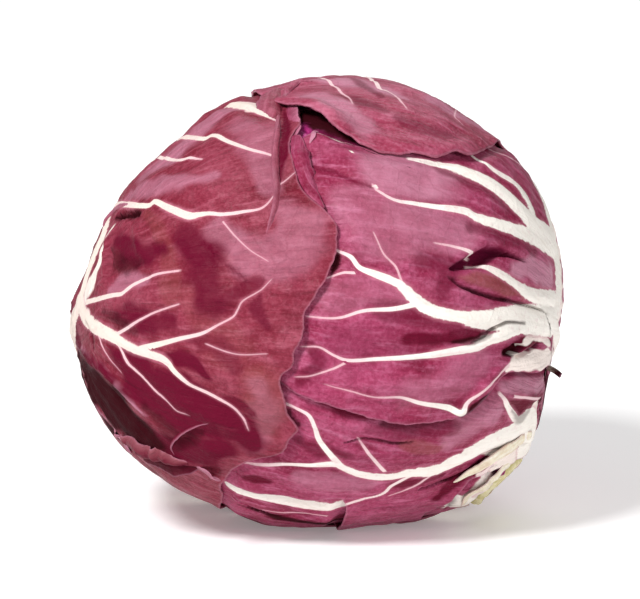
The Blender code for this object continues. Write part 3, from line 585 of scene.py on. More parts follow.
topLeaf = {
    "name": "top_leaf", "node": "leaf_top", "look": "top", "segments": (184, 184),
    "centre": unit([0.14, 0.62, -0.77]), "root": turned(154, 20),
    "outline": [turned(138, 11), turned(126, 32), turned(112, 52), turned(101, 68), (503, 148), (491, 148),
                (478, 155), (464, 159), (450, 157), (436, 160), (407, 157), (384, 157), (365, 150),
                (350, 144), (335, 135), (318, 124), (302, 116), (287, 110), (261, 100), far(250, 110),
                far(225, 165), turned(186, 118), turned(190, 85), turned(184, 50), turned(175, 11)],
    "veins": [
        ([9, 7, 5.5, 4, 2.4, 1.7, 1.5, 1.4, 1.2, 1.1, 0.9, 0.7, 0.6, 0.4],
         [turned(154, 11), turned(152, 30), turned(152, 50), turned(146, 82), turned(134, 108),
          far(345, 84), far(347, 78), (350, 73), (365, 79), (378, 90), (385, 93), (391, 96), (398, 105),
          (403, 112)]),
        ([1, 0.9, 0.8, 0.7, 0.6, 0.5, 0.4],
         [(308, 78), (322, 81), (331, 87), (336, 90), (342, 98), (349, 103), (351, 108)]),
        ([0.5, 0.4, 0.3], [(457, 108), (454, 117), (461, 125)]),
        ([2.6, 1.8, 1, 0.5], [turned(150, 62), turned(138, 70), turned(128, 78), turned(118, 88)]),
        ([3, 2.2, 1.4, 0.6], [turned(153, 45), turned(163, 58), turned(171, 74), turned(176, 98)]),
        ([3, 2.2, 1.4, 0.6], [turned(152, 36), turned(140, 46), turned(128, 54), turned(116, 66)]),
        ([1.6, 1, 0.5], [turned(148, 74), turned(158, 88), turned(160, 104)]),
    ],
    "folds": [
        (3.2, 3.2, 3.2, [(296, 106), (312, 114), (332, 126), (352, 138)]),
        (1, 2.4, 2.4, [(365, 142), (410, 150), (450, 150), (490, 143)]),
        (0.9, 3, 3, [(310, 95), (345, 110), (380, 128)]),
        (0.8, 3, 3, [(370, 100), (420, 120), (470, 135)]),
        (0.9, 2.6, 2.6, [(400, 92), (440, 106), (480, 128)]),
        (-0.8, 1.6, 1.6, [(366, 118), (380, 128), (392, 140)]),
    ],
    # The whitish marks are partly painted highlight.
    "stainsAndPaintedLight": [
        ("highlightAndBloom", 0.6, [2, 4, 4, 2], [(318, 84), (350, 86), (376, 92), (400, 100)]),
        ("highlightAndBloom", 0.5, [2, 4, 3], [(310, 104), (335, 112), (362, 132)]),
        ("highlightAndBloom", 0.55, [2, 3, 2], [(430, 104), (455, 116), (480, 130)]),
        ("crimson", 0.5, [1.4, 2.4, 1.6], [(342, 100), (362, 108), (384, 116)]),
        ("crimson", 0.45, [1.4, 2.6, 1.6], [(396, 122), (420, 134), (450, 140)]),
        ("crimson", 0.5, [0.8, 1.6, 1], [(350, 82), (366, 92), (380, 102)]),
    ],
}
leaves = [innerLeaf, backLeaf, underLeaf, bottomLeaf, rightLeaf, leftLeaf, topLeaf]

samplesPerSpan = {"margin": 20, "vein": 24, "fold": 14, "stainAndLight": 12, "strip": 10}
margin = {
    "samplesPerDegree": 5,
    "ragged": 0.45 * mm,
    "raggedLength": 3.0 * mm,
    "smoothBase": 0.35,  # bearing from the base in radians within which the margin isn't ragged
    "baseFade": 0.4,
    "lift": 0.9 * mm,
    "liftWidth": 2.6 * mm,
    "liftWaves": 7 * mm,
    "calmed": 12,  # degrees of bearing over which the inner rows smooth out the margin's shape
    "returnPower": 5,  # how close to the margin its shape comes back
}
veinRelief = {
    "thinBelow": 0.95 * mm,  # half width under which a vein is drawn from its middle line
    "thinEnd": -0.25 * mm,  # half width at both ends of a thin vein, which tapers them
    "crown": 1.0 * mm,
    "spread": 1.7 * mm,
    "softness": 0.15 * mm,
    "smoothAround": 1.2 * mm,
    "nearFrom": 0.4 * mm,  # beyond a thin vein where its finish starts to fade
    "nearFade": 0.7 * mm,
}
bladeRelief = {
    "pucker": 0.45 * mm,
    "puckerSpread": 2.2 * mm,
    "puckerPatches": 12 * mm,
    "puckerMean": 0.7,
    "puckerVaries": 0.6,
    "besideRib": 0.35,  # share of the roughness that is left beside a rib
    "wrinkle": 0.42 * mm,
    "wrinkleLength": 6.0 * mm,
    "pleat": 0.50 * mm,  # long wrinkles along the veins
    "pleatWidth": 5.0 * mm,
    "pleatStretch": 0.22,
    "finePleat": 0.3,
    "finePleatWidth": 0.4,
    "grain": 0.10 * mm,
    "grainLength": 2.0 * mm,
    "deepest": 0.25 * mm,  # how far small dips may go towards the leaf below
    "deepFold": -0.5,  # height in mm from which a crease also presses the leaves below it
    "slitWall": 0.35 * mm,
}
veinFlow = {"squeeze": 0.9, "rootReach": 0.35}  # the pattern narrows within that many radians of the root
stainAndLightEdge = {"narrowest": 0.35 * mm, "share": 0.9, "wobble": 0.5, "wobbleLength": 3 * mm}
stainAndLightKinds = ("dark", "deep", "pale", "crimson", "highlightAndBloom", "olive")


def fromLeafPolar(leaf, bearing, away):
    local = np.stack([np.sin(away) * np.cos(bearing), np.sin(away) * np.sin(bearing), np.cos(away)], -1)
    return local @ leaf["axes"]


def leftOf(line):
    # Directions at right angles to a route, on the left of the way that it runs
    return unit(np.cross(line, np.gradient(line, axis=0)))


def prepareMargin(leaf, seed):
    # The leaf's own axes, and its reach in every direction from its centre
    centre = unit(leaf["centre"])
    towardsBase = unit(stemAxis - centre * (centre @ stemAxis))
    leaf["axes"] = np.array([towardsBase, np.cross(centre, towardsBase), centre])
    local = smoothCurve(leaf["outline"], samplesPerSpan["margin"], closed=True) @ leaf["axes"].T
    bearing = np.arctan2(local[:, 1], local[:, 0])
    order = np.argsort(bearing)
    bearing, reach = bearing[order], np.arccos(np.clip(local[order, 2], -1, 1))
    around = np.r_[bearing - 2 * math.pi, bearing, bearing + 2 * math.pi]
    fine = np.linspace(-math.pi, math.pi, 360 * margin["samplesPerDegree"] + 1)
    smooth = np.interp(fine, around, np.tile(reach, 3))
    edge = fromLeafPolar(leaf, fine, smooth) * meanRadius
    length = margin["raggedLength"]
    teeth = roughness(edge, length, seed) + 0.5 * roughness(edge, length / 3, seed)
    awayFromBase = smoothStep((np.abs(fine) - margin["smoothBase"]) / margin["baseFade"])
    smooth = smooth + teeth * awayFromBase * margin["ragged"] / meanRadius
    leaf["bearing"], leaf["reach"] = fine, smooth
    leaf["edge"] = fromLeafPolar(leaf, fine, smooth)

    # The inner rows keep to the lowest reach nearby, averaged round the leaf
    window = margin["samplesPerDegree"] * margin["calmed"]
    ring = np.r_[smooth[-window - 1:-1], smooth, smooth[1:window + 1]]
    lowest = np.lib.stride_tricks.sliding_window_view(ring, 2 * window + 1).min(1)
    ring = np.r_[lowest[-window - 1:-1], lowest, lowest[1:window + 1]]
    leaf["calmReach"] = np.convolve(ring, np.full(2 * window + 1, 1 / (2 * window + 1)), "valid")


def prepareVeins(leaf):
    # Samples along the middle lines of the wide ribs and of the thin veins
    lines = [smoothCurve(route, samplesPerSpan["vein"]) for widths, route in leaf["veins"]]
    line, side = np.vstack(lines), np.vstack([leftOf(line) for line in lines])
    half = np.concatenate([alongRoute(widths, len(line)) / 2
                           for (widths, route), line in zip(leaf["veins"], lines)])
    end = np.concatenate([np.isin(np.arange(len(line)), (0, len(line) - 1)) for line in lines])
    number = np.concatenate([np.full(len(line), float(i)) for i, line in enumerate(lines)])
    wide, thin = half > veinRelief["thinBelow"] * 0.8, half < veinRelief["thinBelow"]
    leaf["ribs"] = {"line": line[wide], "half": half[wide]}
    half = np.where(end, veinRelief["thinEnd"], half)
    leaf["thinVeins"] = {"line": line[thin], "side": side[thin], "half": half[thin], "end": end[thin],
                         "number": number[thin]}


def insideMargin(n, leaf):
    # Distance to the leaf's margin, positive inside the leaf
    local = n @ leaf["axes"].T
    limit = np.interp(np.arctan2(local[:, 1], local[:, 0]), leaf["bearing"], leaf["reach"])
    inside = np.arccos(np.clip(local[:, 2], -1, 1)) < limit
    return np.where(inside, 1, -1) * nearest(n, leaf["edge"])[1]


def flowPlace(n, leaf):
    # Places across and along the way that the veins run out from the leaf's root. The pattern's seam
    # lies on the other side of the root, under the midrib.
    root = unit(leaf["root"])
    ahead = np.asarray(leaf.get("flow", leaf["centre"]))
    first = unit(ahead - root * (ahead @ root))
    second = np.cross(root, first)
    bearing = np.arctan2(n @ second, n @ first)
    away = angleTo(n, root)
    narrowed = veinFlow["squeeze"] * np.minimum(away / veinFlow["rootReach"], 1)
    return bearing * meanRadius * narrowed, away * meanRadius


def foldHeights(n, leaf, deepOnly=False):
    # Ridges, creases and slits of one leaf, or only what presses the leaves below it
    total = np.zeros(len(n))
    for height, leftWidth, rightWidth, route in leaf.get("folds", []):
        if deepOnly and height > bladeRelief["deepFold"]:
            continue
        line = smoothCurve(route, samplesPerSpan["fold"])
        taper = np.sin(np.linspace(0.1, math.pi - 0.1, len(line))) ** 0.6
        index, gap = nearest(n, line)
        side = np.einsum("ij,ij->i", n, leftOf(line)[index])
        width = np.where(side > 0, leftWidth, rightWidth) * mm
        total = total + height * mm * taper[index] * np.exp(-(gap / width) ** 2)
    wall = bladeRelief["slitWall"]
    for depth, widths, route in leaf.get("slits", []):
        line = smoothCurve(route, samplesPerSpan["fold"])
        beyond = nearest(n, line, alongRoute(widths, len(line)))[1]
        if deepOnly:
            beyond = beyond - 2 * wall
        total = total - depth * mm * (1 - smoothStep(beyond / wall + 0.5))
    return total


def depthBelow(n, outerLeaves):
    # How deep a point lies under the outer leaves, and how much of it is free of them
    depth, free = np.zeros(len(n)), np.ones(len(n))
    for outer in outerLeaves:
        cover = smoothStep((insideMargin(n, outer) + layers["plateau"] + layers["ramp"]) / layers["ramp"])
        dips = foldHeights(n, outer, deepOnly=True)
        depth = depth + cover * (layers["gap"] + layers["blade"] - dips)
        free = free * (1 - cover)
    return depth, free


def bladeRoughness(n, seed, across, along):
    # Pleats along the veins, wrinkles and grain
    relief = bladeRelief
    points = n * meanRadius
    pleatPlace = np.column_stack([across, along * relief["pleatStretch"], np.full(len(n), 0.004)])
    pleats = relief["pleat"] * roughness(pleatPlace, relief["pleatWidth"], seed + 2)
    finer = roughness(pleatPlace, relief["pleatWidth"] * relief["finePleatWidth"], seed + 3)
    pleats = pleats + relief["finePleat"] * relief["pleat"] * finer
    wrinkles = relief["wrinkle"] * roughness(points, relief["wrinkleLength"], seed + 11)
    return pleats + wrinkles + relief["grain"] * roughness(points, relief["grainLength"], seed + 23)


def stainAndLightAmounts(n, leaf):
    amounts = {kind: np.zeros(len(n)) for kind in stainAndLightKinds}
    for kind, strength, halfWidth, route in leaf.get("stainsAndPaintedLight", []):
        line = smoothCurve(route, samplesPerSpan["stainAndLight"])
        halves = alongRoute(halfWidth, len(line))
        size = float(halves.mean())
        waves = roughness(n * meanRadius, max(stainAndLightEdge["wobbleLength"], size), 31)
        gap = nearest(n, line, halves)[1] + stainAndLightEdge["wobble"] * size * waves
        spread = max(stainAndLightEdge["narrowest"], stainAndLightEdge["share"] * size)
        amount = strength * (1 - smoothStep(gap / spread + 0.5))
        amounts[kind] = np.maximum(amounts[kind], amount)
    return amounts


def leafSurface(n, leaf):
    # The outer side of a leaf: its height over the skin, and what its finish needs to know
    seed = leaf["layer"]
    depth, free = depthBelow(n, leaves[seed + 1:])
    ribs, thin = leaf["ribs"], leaf["thinVeins"]
    nearRib, beyond = nearest(n, ribs["line"], ribs["half"])
    nearVein, beyondThin = nearest(n, thin["line"], thin["half"])
    half = thin["half"][nearVein]
    offset = np.einsum("ij,ij->i", n, thin["side"][nearVein]) * meanRadius
    offset = np.where(thin["end"][nearVein], np.sign(offset) * (beyondThin + half), offset)
    inside = insideMargin(n, leaf)
    points = n * meanRadius
    across, along = flowPlace(n, leaf)

    soft = veinRelief["softness"]
    within = soft * np.log1p(np.exp(np.clip(-np.minimum(beyond, beyondThin) / soft, -30, 30)))
    ribRise = veinRelief["crown"] * (1 - np.exp(-within / veinRelief["spread"]))
    relief = bladeRelief
    patches = roughness(points, relief["puckerPatches"], seed)
    strength = relief["puckerMean"] + relief["puckerVaries"] * patches
    away = np.maximum(np.minimum(beyond, beyondThin), 0)
    bulge = relief["pucker"] * strength * (1 - np.exp(-away / relief["puckerSpread"]))
    kept = relief["besideRib"] + (1 - relief["besideRib"]) * smoothStep(beyond / veinRelief["smoothAround"])
    rough = bladeRoughness(n, seed, across, along) * kept
    small = np.maximum(ribRise + bulge + rough, -relief["deepest"])
    edge = np.exp(-(np.maximum(inside, 0) / margin["liftWidth"]) ** 2)
    lift = margin["lift"] * edge * np.clip(0.35 + roughness(points, margin["liftWaves"], seed + 5), 0, 1)
    free = free * (1 - spotUnder(n))
    height = (small + lift + foldHeights(n, leaf)) * free - depth

    marks = {"ribDepth": np.clip(-beyond / mm, -8, 8), "ribHalf": ribs["half"][nearRib] / mm,
             "veinOffset": offset / mm, "veinHalf": half / mm, "veinNumber": thin["number"][nearVein],
             "veinNear": 1 - smoothStep((beyondThin - veinRelief["nearFrom"]) / veinRelief["nearFade"]),
             "marginAway": np.clip(inside / mm, 0, 8), "swell": (rough + bulge) / (0.5 * mm),
             "flowAcross": across / mm, "flowAlong": along / mm}
    return height, marks | stainAndLightAmounts(n, leaf)


def meshFrom(shape, name, marks):
    mesh = bpy.data.meshes.new(name)
    shape.to_mesh(mesh)
    shape.free()
    for key, values in marks.items():
        mesh.attributes.new(key, "FLOAT", "POINT").data.foreach_set("value", np.asarray(values, np.float32))
    mesh.shade_smooth()
    return mesh


def closedSheet(name, columns, rows, shape):
    # A grid extruded once. shape(x, y) gives the outer points, the inner points and the finish marks.
    sheet = bmesh.new()
    bmesh.ops.create_grid(sheet, x_segments=columns, y_segments=rows, size=1)
    first = list(sheet.verts)
    bmesh.ops.extrude_face_region(sheet, geom=list(sheet.faces), use_keep_orig=True)
    sheet.verts.index_update()
    lower = {v.index for v in first}
    flat = np.round(np.array([v.co[:2] for v in sheet.verts]), 6)
    isLower = np.array([v.index in lower for v in sheet.verts])
    below, above = np.nonzero(isLower)[0], np.nonzero(~isLower)[0]
    below = below[np.lexsort(flat[below].T)]
    above = above[np.lexsort(flat[above].T)]
    rank = np.empty(len(flat), int)
    rank[below] = rank[above] = np.arange(len(below))
    outer, inner, marks = shape(flat[below][:, 0], flat[below][:, 1])
    points = np.where(isLower[:, None], inner[rank], outer[rank])
    for vert, point in zip(sheet.verts, points.tolist()):
        vert.co = point
    bmesh.ops.recalc_face_normals(sheet, faces=list(sheet.faces))
    return meshFrom(sheet, name, {key: values[rank] for key, values in marks.items()})


def addPiece(name, mesh, look, node=None):
    piece = bpy.data.objects.new(name, mesh)
    bpy.context.scene.collection.objects.link(piece)
    mesh.materials.append(look)
    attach(piece, "root")
    if node:
        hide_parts(node)


def addLeaf(leaf, look):
    columns, rows = leaf["segments"]
    denseX, denseY = leaf.get("dense", (0, 0))

    def shape(u, v):
        # The square grid drawn out to the leaf's outline, with its middle moved to where it has to be dense
        u = u + denseX * (1 - u * u) / 2
        v = v + denseY * (1 - v * v) / 2
        x, y = u * np.sqrt(1 - v * v / 2), v * np.sqrt(1 - u * u / 2)
        bearing = np.arctan2(y, x)
        share = np.hypot(x, y)
        calm = np.interp(bearing, leaf["bearing"], leaf["calmReach"])
        reach = np.interp(bearing, leaf["bearing"], leaf["reach"])
        away = calm * share + (reach - calm) * share ** margin["returnPower"]
        n = fromLeafPolar(leaf, bearing, away)
        height, marks = leafSurface(n, leaf)
        return place(n, height), place(n, height - layers["blade"]), marks

    addPiece(leaf["name"], closedSheet(leaf["name"], columns, rows, shape), look, leaf["node"])
    print("made", leaf["name"])


# Turned-up margins, rolls and scales: thin sheets that grow out of a leaf along a route. Widths are in mm,
# lean and curl in degrees, and side 1 is on the right of the route's direction. Each stain and painted light
# mark has its strength at the root and at the free edge; the whitish marks on the curls are partly painted
# highlight and partly pale rims.
strips = [
    {"name": "knot_ridge", "on": leftLeaf, "look": "left", "side": -1, "width": [1, 2.8, 3, 2.6, 2.4, 1],
     "lean": [80, 95, 90, 85, 80, 60], "curl": [-160, -185, -180, -170, -150, -120], "highlightAndBloom": [0.35, 0],
     "route": [(277, 112), (275, 135), (272, 158), (273, 178), (274, 196), (272, 214), (264, 240)]},
    {"name": "knot_lobe", "on": leftLeaf, "look": "left", "side": 1, "width": [5.5, 7.5, 6, 2],
     "lean": [70, 65, 50, 30], "curl": [-105, -100, -90, -60], "highlightAndBloom": [0, 0.3], "pale": [0, 0.3],
     "route": [(287, 93), (284, 104), (283, 116), (279, 130)]},
    {"name": "knot_flap", "on": leftLeaf, "look": "right", "side": -1, "width": [1.6, 4, 3.6, 4.2, 2, 0.6],
     "lean": [50, 48, 42, 40, 40, 30], "curl": [-30, -30, -20, -25, -30, -30], "highlightAndBloom": [0, 0.4],
     "route": [(286, 100), (285, 110), (286, 122), (287, 134), (288, 146), (288, 154)]},
    {"name": "raised_strip", "on": leftLeaf, "look": "right", "side": -1,
     "width": [2.5, 5.6, 5.4, 5.2, 3.6, 1], "lean": [45, 62, 66, 62, 55, 40],
     "curl": [-60, -110, -122, -120, -105, -80], "highlightAndBloom": [0, 0], "crimson": [0.1, 0.3],
     "route": [(292, 142), (291, 158), (295, 172), (300, 186), (308, 199), (322, 213)]},
    {"name": "rolled_corner", "on": topLeaf, "look": "top", "side": 1, "width": [1.6, 3.6, 4.2, 3.6, 1.4],
     "lean": [80, 95, 95, 80, 60], "curl": [-150, -165, -160, -130, -90], "highlightAndBloom": [0.2, 0],
     "route": [(282, 102), (285, 94), (292, 88), (302, 85), (314, 86)]},
    {"name": "pale_tip", "on": rightLeaf, "look": "right", "side": 1, "width": [0.4, 1.8, 1.4, 0.4],
     "lean": [60, 70, 60, 40], "curl": [-70, -80, -70, -40], "highlightAndBloom": [0.9, 0.9],
     "route": [(307, 150), (310, 143), (312, 137), (318, 135)]},
    {"name": "frill_roll", "on": leftLeaf, "look": "left", "side": 1, "width": [1.6, 5.4, 6.6, 6.8, 6.4, 4],
     "lean": [70, 100, 85, 105, 85, 70], "curl": [-120, -190, -160, -200, -160, -130], "highlightAndBloom": [0, 0.3],
     "olive": [0.3, 0.8], "crimson": [0.9, 0.2], "waves": 4,
     "route": [(192, 462), (174, 460), (158, 456), (144, 450), (128, 440)]},
    {"name": "frill_skirt", "on": leftLeaf, "look": "left", "side": -1, "width": [0.8, 3.2, 4.4, 3.6, 3],
     "lean": [20, 32, 38, 32, 20], "curl": [-30, -30, -40, -30, -20], "crimson": [0.8, 0.6],
     "dark": [0.6, 0.2], "route": [(205, 462), (190, 460), (172, 458), (156, 454), (142, 450)]},
    {"name": "hook_curl", "on": leftLeaf, "look": "left", "side": 1, "width": [0.5, 1.1, 1.3, 1.1, 0.4],
     "lean": [60, 70, 70, 65, 45], "curl": [-40, -60, -60, -60, -50], "highlightAndBloom": [0, 0.5],
     "crimson": [0.9, 0.3], "route": [(177, 452), (173, 443), (179, 432), (194, 423), (220, 415)]},
    {"name": "left_curl", "on": leftLeaf, "look": "left", "side": -1, "width": [0.8, 3.2, 3.8, 3, 0.8],
     "lean": [60, 65, 55, 65, 50], "curl": [-70, -100, -80, -100, -70], "highlightAndBloom": [0.2, 0.6], "waves": 3,
     "route": [(112, 424), (117, 432), (122, 438), (127, 444), (131, 452)]},
    {"name": "hanging_tip", "on": leftLeaf, "look": "left", "side": 1, "width": [0.6, 3, 9, 3, 0.6],
     "lean": [15, 32, 42, 30, 10], "curl": [-20, -20, -15, -20, -20], "highlightAndBloom": [0.2, 0.5],
     "route": [(226, 476), (219, 478), (212, 474), (204, 470), (192, 466)]},
    {"name": "pocket_curl", "on": leftLeaf, "look": "left", "side": -1, "width": [0.5, 1.8, 2.2, 1.6, 0.5],
     "lean": [60, 90, 90, 80, 50], "curl": [-80, -140, -150, -120, -60], "highlightAndBloom": [0.2, 0.6], "waves": 2,
     "route": [(112, 232), (109, 224), (114, 214), (124, 209), (136, 209)]},
    {"name": "twig", "on": rightLeaf, "look": "base", "side": -1, "width": [4.4, 4], "lean": [92, 92],
     "curl": [26, 26], "dark": [0.5, 0.9], "route": [(545, 366), (545, 368), (545, 370)]},
    {"name": "sheath_cream", "on": bottomLeaf, "look": "base", "side": -1, "width": [1, 4, 6, 6, 4],
     "lean": [15, 22, 30, 32, 30], "curl": [-30, -40, -50, -60, -60],
     "route": [(452, 484), (470, 474), (490, 462), (508, 452), (524, 438)]},
    {"name": "sheath_lower", "on": underLeaf, "look": "base", "side": -1, "width": [0.5, 3.2, 5, 5, 3],
     "lean": [15, 25, 30, 30, 20], "curl": [-30, -45, -60, -60, -60],
     "route": [(458, 502), (470, 492), (486, 482), (504, 470), (520, 458)]},
]
stripShape = {
    "root": 0.35 * mm,  # how far a strip is sunk into its leaf
    "waveLean": 38,  # degrees
    "teeth": [(0.10, 3 * mm, 5), (0.06, 1 * mm, 9)],  # share of the width, length and seed
    "tipThickness": 0.5,  # of a blade's
    "lowest": 0.3 * mm,
    "segments": (100, 16),
    "noVeins": {"ribDepth": -8, "ribHalf": 1, "veinHalf": 0, "veinOffset": 8, "veinNear": 0, "veinNumber": 0},
}


def addStrip(strip, look):
    leaf = strip["on"]
    along = smoothCurve(strip["route"], samplesPerSpan["strip"])
    height = leafSurface(along, leaf)[0] - stripShape["root"]
    root = place(along, height)
    ahead = unit(np.gradient(root, axis=0))
    outward = unit(place(along, height + mm) - root)
    across = unit(np.cross(ahead, outward)) * strip["side"]

    def spread(values, u):
        return np.interp(u, np.linspace(-1, 1, len(values)), values)

    def spreadPoints(points, u):
        return np.column_stack([spread(points[:, k], u) for k in range(3)])

    def shape(u, v):
        share = (v + 1) / 2
        start, aside, up = (spreadPoints(points, u) for points in (root, across, outward))
        waves = roughness(np.column_stack([u * strip.get("waves", 0), 0 * u, 0 * u]), 1.0, 3)
        lean = np.radians(spread(strip["lean"], u) + stripShape["waveLean"] * waves)
        curl = np.radians(spread(strip["curl"], u))
        teeth = sum(part * roughness(start, length, seed) for part, length, seed in stripShape["teeth"])
        width = spread(strip["width"], u) * mm * (1 + teeth)
        turn = lean + curl * share
        asideBy = width * (np.sin(turn) - np.sin(lean)) / curl
        upBy = width * (np.cos(lean) - np.cos(turn)) / curl
        outer = start + aside * asideBy[:, None] + up * upBy[:, None]
        thin = layers["blade"] * (1 - (1 - stripShape["tipThickness"]) * share)
        inner = outer + (aside * np.sin(turn)[:, None] - up * np.cos(turn)[:, None]) * thin[:, None]
        for side in (outer, inner):
            side[:, 2] = np.maximum(side[:, 2], stripShape["lowest"])
        marks = {key: np.full(len(u), float(value)) for key, value in stripShape["noVeins"].items()}
        marks |= {"marginAway": (1 - share) * width / mm, "swell": roughness(outer, 3 * mm, 2),
                  "flowAcross": share * width / mm, "flowAlong": u * 8}
        for kind in stainAndLightKinds:
            low, high = strip.get(kind, (0, 0))
            marks[kind] = low + (high - low) * share ** 1.5
        return outer, inner, marks

    columns, rows = stripShape["segments"]
    addPiece(strip["name"], closedSheet(strip["name"], columns, rows, shape), look)


def rgb(red, green, blue):
    linear = [((c / 255 + 0.055) / 1.055) ** 2.4 if c > 10 else c / 255 / 12.92 for c in (red, green, blue)]
    return (*linear, 1)


class Wire:
    # A shader socket that takes part in Python sums
    def __init__(self, graph, socket):
        self.graph = graph
        self.socket = socket

    def math(self, operation, *values):
        return self.graph.node("ShaderNodeMath", {"operation": operation}, dict(enumerate(values)))

    def __add__(self, other):
        return self.math("ADD", self, other)

    def __radd__(self, other):
        return self.math("ADD", other, self)

    def __sub__(self, other):
        return self.math("SUBTRACT", self, other)

    def __rsub__(self, other):
        return self.math("SUBTRACT", other, self)

    def __mul__(self, other):
        return self.math("MULTIPLY", self, other)

    def __rmul__(self, other):
        return self.math("MULTIPLY", other, self)

    def size(self):
        return self.math("ABSOLUTE", self)

    def rise(self, low, high, start=0.0, end=1.0):
        # From start to end as the value goes from low to high, smoothly
        return self.graph.node("ShaderNodeMapRange", {"interpolation_type": "SMOOTHSTEP"},
                               {0: self, 1: low, 2: high, 3: start, 4: end})


class Graph:
    # The node graph of one new material
    def __init__(self, name):
        self.material = bpy.data.materials.new(name)
        self.material.use_nodes = True
        self.tree = self.material.node_tree
        self.tree.nodes.clear()

    def node(self, kind, settings=None, inputs=None, output=0):
        made = self.tree.nodes.new(kind)
        for key, value in (settings or {}).items():
            setattr(made, key, value)
        for key, value in (inputs or {}).items():
            if isinstance(value, Wire):
                self.tree.links.new(value.socket, made.inputs[key])
            else:
                made.inputs[key].default_value = value
        return Wire(self, made.outputs[output])

    def mark(self, name):
        return self.node("ShaderNodeAttribute", {"attribute_name": name}, output="Fac")

    def place(self):
        return self.node("ShaderNodeTexCoord", output="Object")

    def mix(self, share, first, second):
        settings = {"data_type": "RGBA", "clamp_factor": True}
        return self.node("ShaderNodeMix", settings, {0: share, 6: first, 7: second}, output=2)

    def noise(self, place, size, detail=3.0, rough=0.55):
        # Fine noise whose features are about a size across
        values = {"Vector": place, "Scale": 1 / size, "Detail": detail, "Roughness": rough}
        return self.node("ShaderNodeTexNoise", {}, values)

    def cells(self, place, size):
        # Distance to the edges of cells about a size across
        return self.node("ShaderNodeTexVoronoi", {"feature": "DISTANCE_TO_EDGE"},
                         {"Vector": place, "Scale": 1 / size, "Randomness": 0.9})

    def swayed(self, place, scale, amount):
        # The same coordinates moved about by a noise
        by = self.node("ShaderNodeTexNoise", {}, {"Vector": place, "Scale": scale, "Detail": 2.0}, output=1)
        centred = self.node("ShaderNodeVectorMath", {"operation": "SUBTRACT"}, {0: by, 1: (0.5, 0.5, 0.5)})
        return self.node("ShaderNodeVectorMath", {"operation": "MULTIPLY_ADD"},
                         {0: centred, 1: (amount, amount, amount), 2: place})

    def bump(self, height, strength, distance):
        values = {"Strength": strength, "Distance": distance, "Height": height}
        return self.node("ShaderNodeBump", {}, values)

    def finish(self, values):
        # The finished material, with one surface shader of these values
        shader = self.node("ShaderNodeBsdfPrincipled", {}, values)
        out = self.tree.nodes.new("ShaderNodeOutputMaterial")
        self.tree.links.new(shader.socket, out.inputs["Surface"])
        return self.material


# Each look's light and deep colours serve the streaks and mottling, and also painted light on raised puckers
# and painted shade in hollows.
leafLooks = {
    "right": {"blade": rgb(138, 38, 70), "second": rgb(158, 62, 96), "light": rgb(188, 104, 136),
              "deep": rgb(100, 8, 38), "rib": rgb(240, 234, 226)},
    "left": {"blade": rgb(116, 28, 46), "second": rgb(136, 48, 68), "light": rgb(162, 82, 100),
             "deep": rgb(84, 4, 22), "rib": rgb(222, 208, 198)},
    "top": {"blade": rgb(140, 46, 70), "second": rgb(160, 68, 94), "light": rgb(188, 110, 134),
            "deep": rgb(102, 14, 38), "rib": rgb(236, 216, 212)},
    "inner": {"blade": rgb(150, 20, 96), "second": rgb(176, 44, 118), "light": rgb(214, 110, 168),
              "deep": rgb(90, 6, 50), "rib": rgb(226, 130, 190)},
    "base": {"blade": rgb(234, 228, 208), "second": rgb(226, 214, 184), "light": rgb(242, 238, 226),
             "deep": rgb(204, 176, 150), "rib": rgb(240, 234, 226)},
}
leafFinish = {
    "thinVein": rgb(222, 176, 186),
    "halo": rgb(196, 120, 140),
    "shade": rgb(206, 190, 172),
    # Painted shade in tears, slits and creases, and dark patches
    "dark": rgb(50, 0, 10),
    # Painted shade inside the tear's hole
    "deep": rgb(100, 12, 48),
    # Deep red patches, and painted shade along some creases
    "crimson": rgb(94, 0, 34),
    # Painted highlight on ridges and lit faces, and the leaf's pale bloom
    "highlightAndBloom": rgb(182, 120, 142),
    "olive": rgb(136, 72, 66),
    "pale": rgb(240, 226, 218),
    "bump": 0.6 * mm,
    "specular": 0.1,
}
leafPatterns = {  # size in metres, detail and roughness of each noise
    "broad": (0.018, 2.0, 0.55),
    "mottle": (0.0045, 4.0, 0.6),
    "speck": (0.0009, 2.0, 0.55),
    "fray": (0.0016, 3.0, 0.6),
    "grain": (0.0011, 3.0, 0.55),
    "shine": (0.003, 3.0, 0.55),
}
flowPatterns = {  # the same for noise drawn out along the veins, with its size in mm
    "streak": (1.5, 4.0, 0.62),
    "broadStreak": (5.0, 2.0, 0.55),
}
flowStretch = 0.16
veinNet = {"large": 0.0058, "small": 0.0020, "swayScale": 260.0, "sway": 0.0024}
bladePasses = [  # pattern, the values where it starts and is full, its share, and the colour that it lays on
    ("streak", 0.5, 0.72, 0.75, "light"),
    ("streak", 0.46, 0.28, 0.55, "deep"),
    ("broadStreak", 0.42, 0.24, 0.6, "deep"),
    ("mottle", 0.5, 0.75, 0.35, "light"),
    # Painted light and shade: raised puckers lighter and hollows darker, from the swell of the relief
    ("swell", 0.3, 1.9, 0.4, "light"),
    ("swell", 0.1, -1.0, 0.75, "deep"),
    ("speck", 0.42, 0.7, 0.3, "deep"),
    ("speck", 0.5, 0.3, 0.2, "light"),
]
veinEdges = {  # mm inside the edge of a vein where each part of it starts and is full
    "rib": (-0.14, 0.26),
    "ribHalo": (-1.1, 0.2),
    "thin": (-0.12, 0.12),
    "thinHalo": (-0.7, 0.1),
}


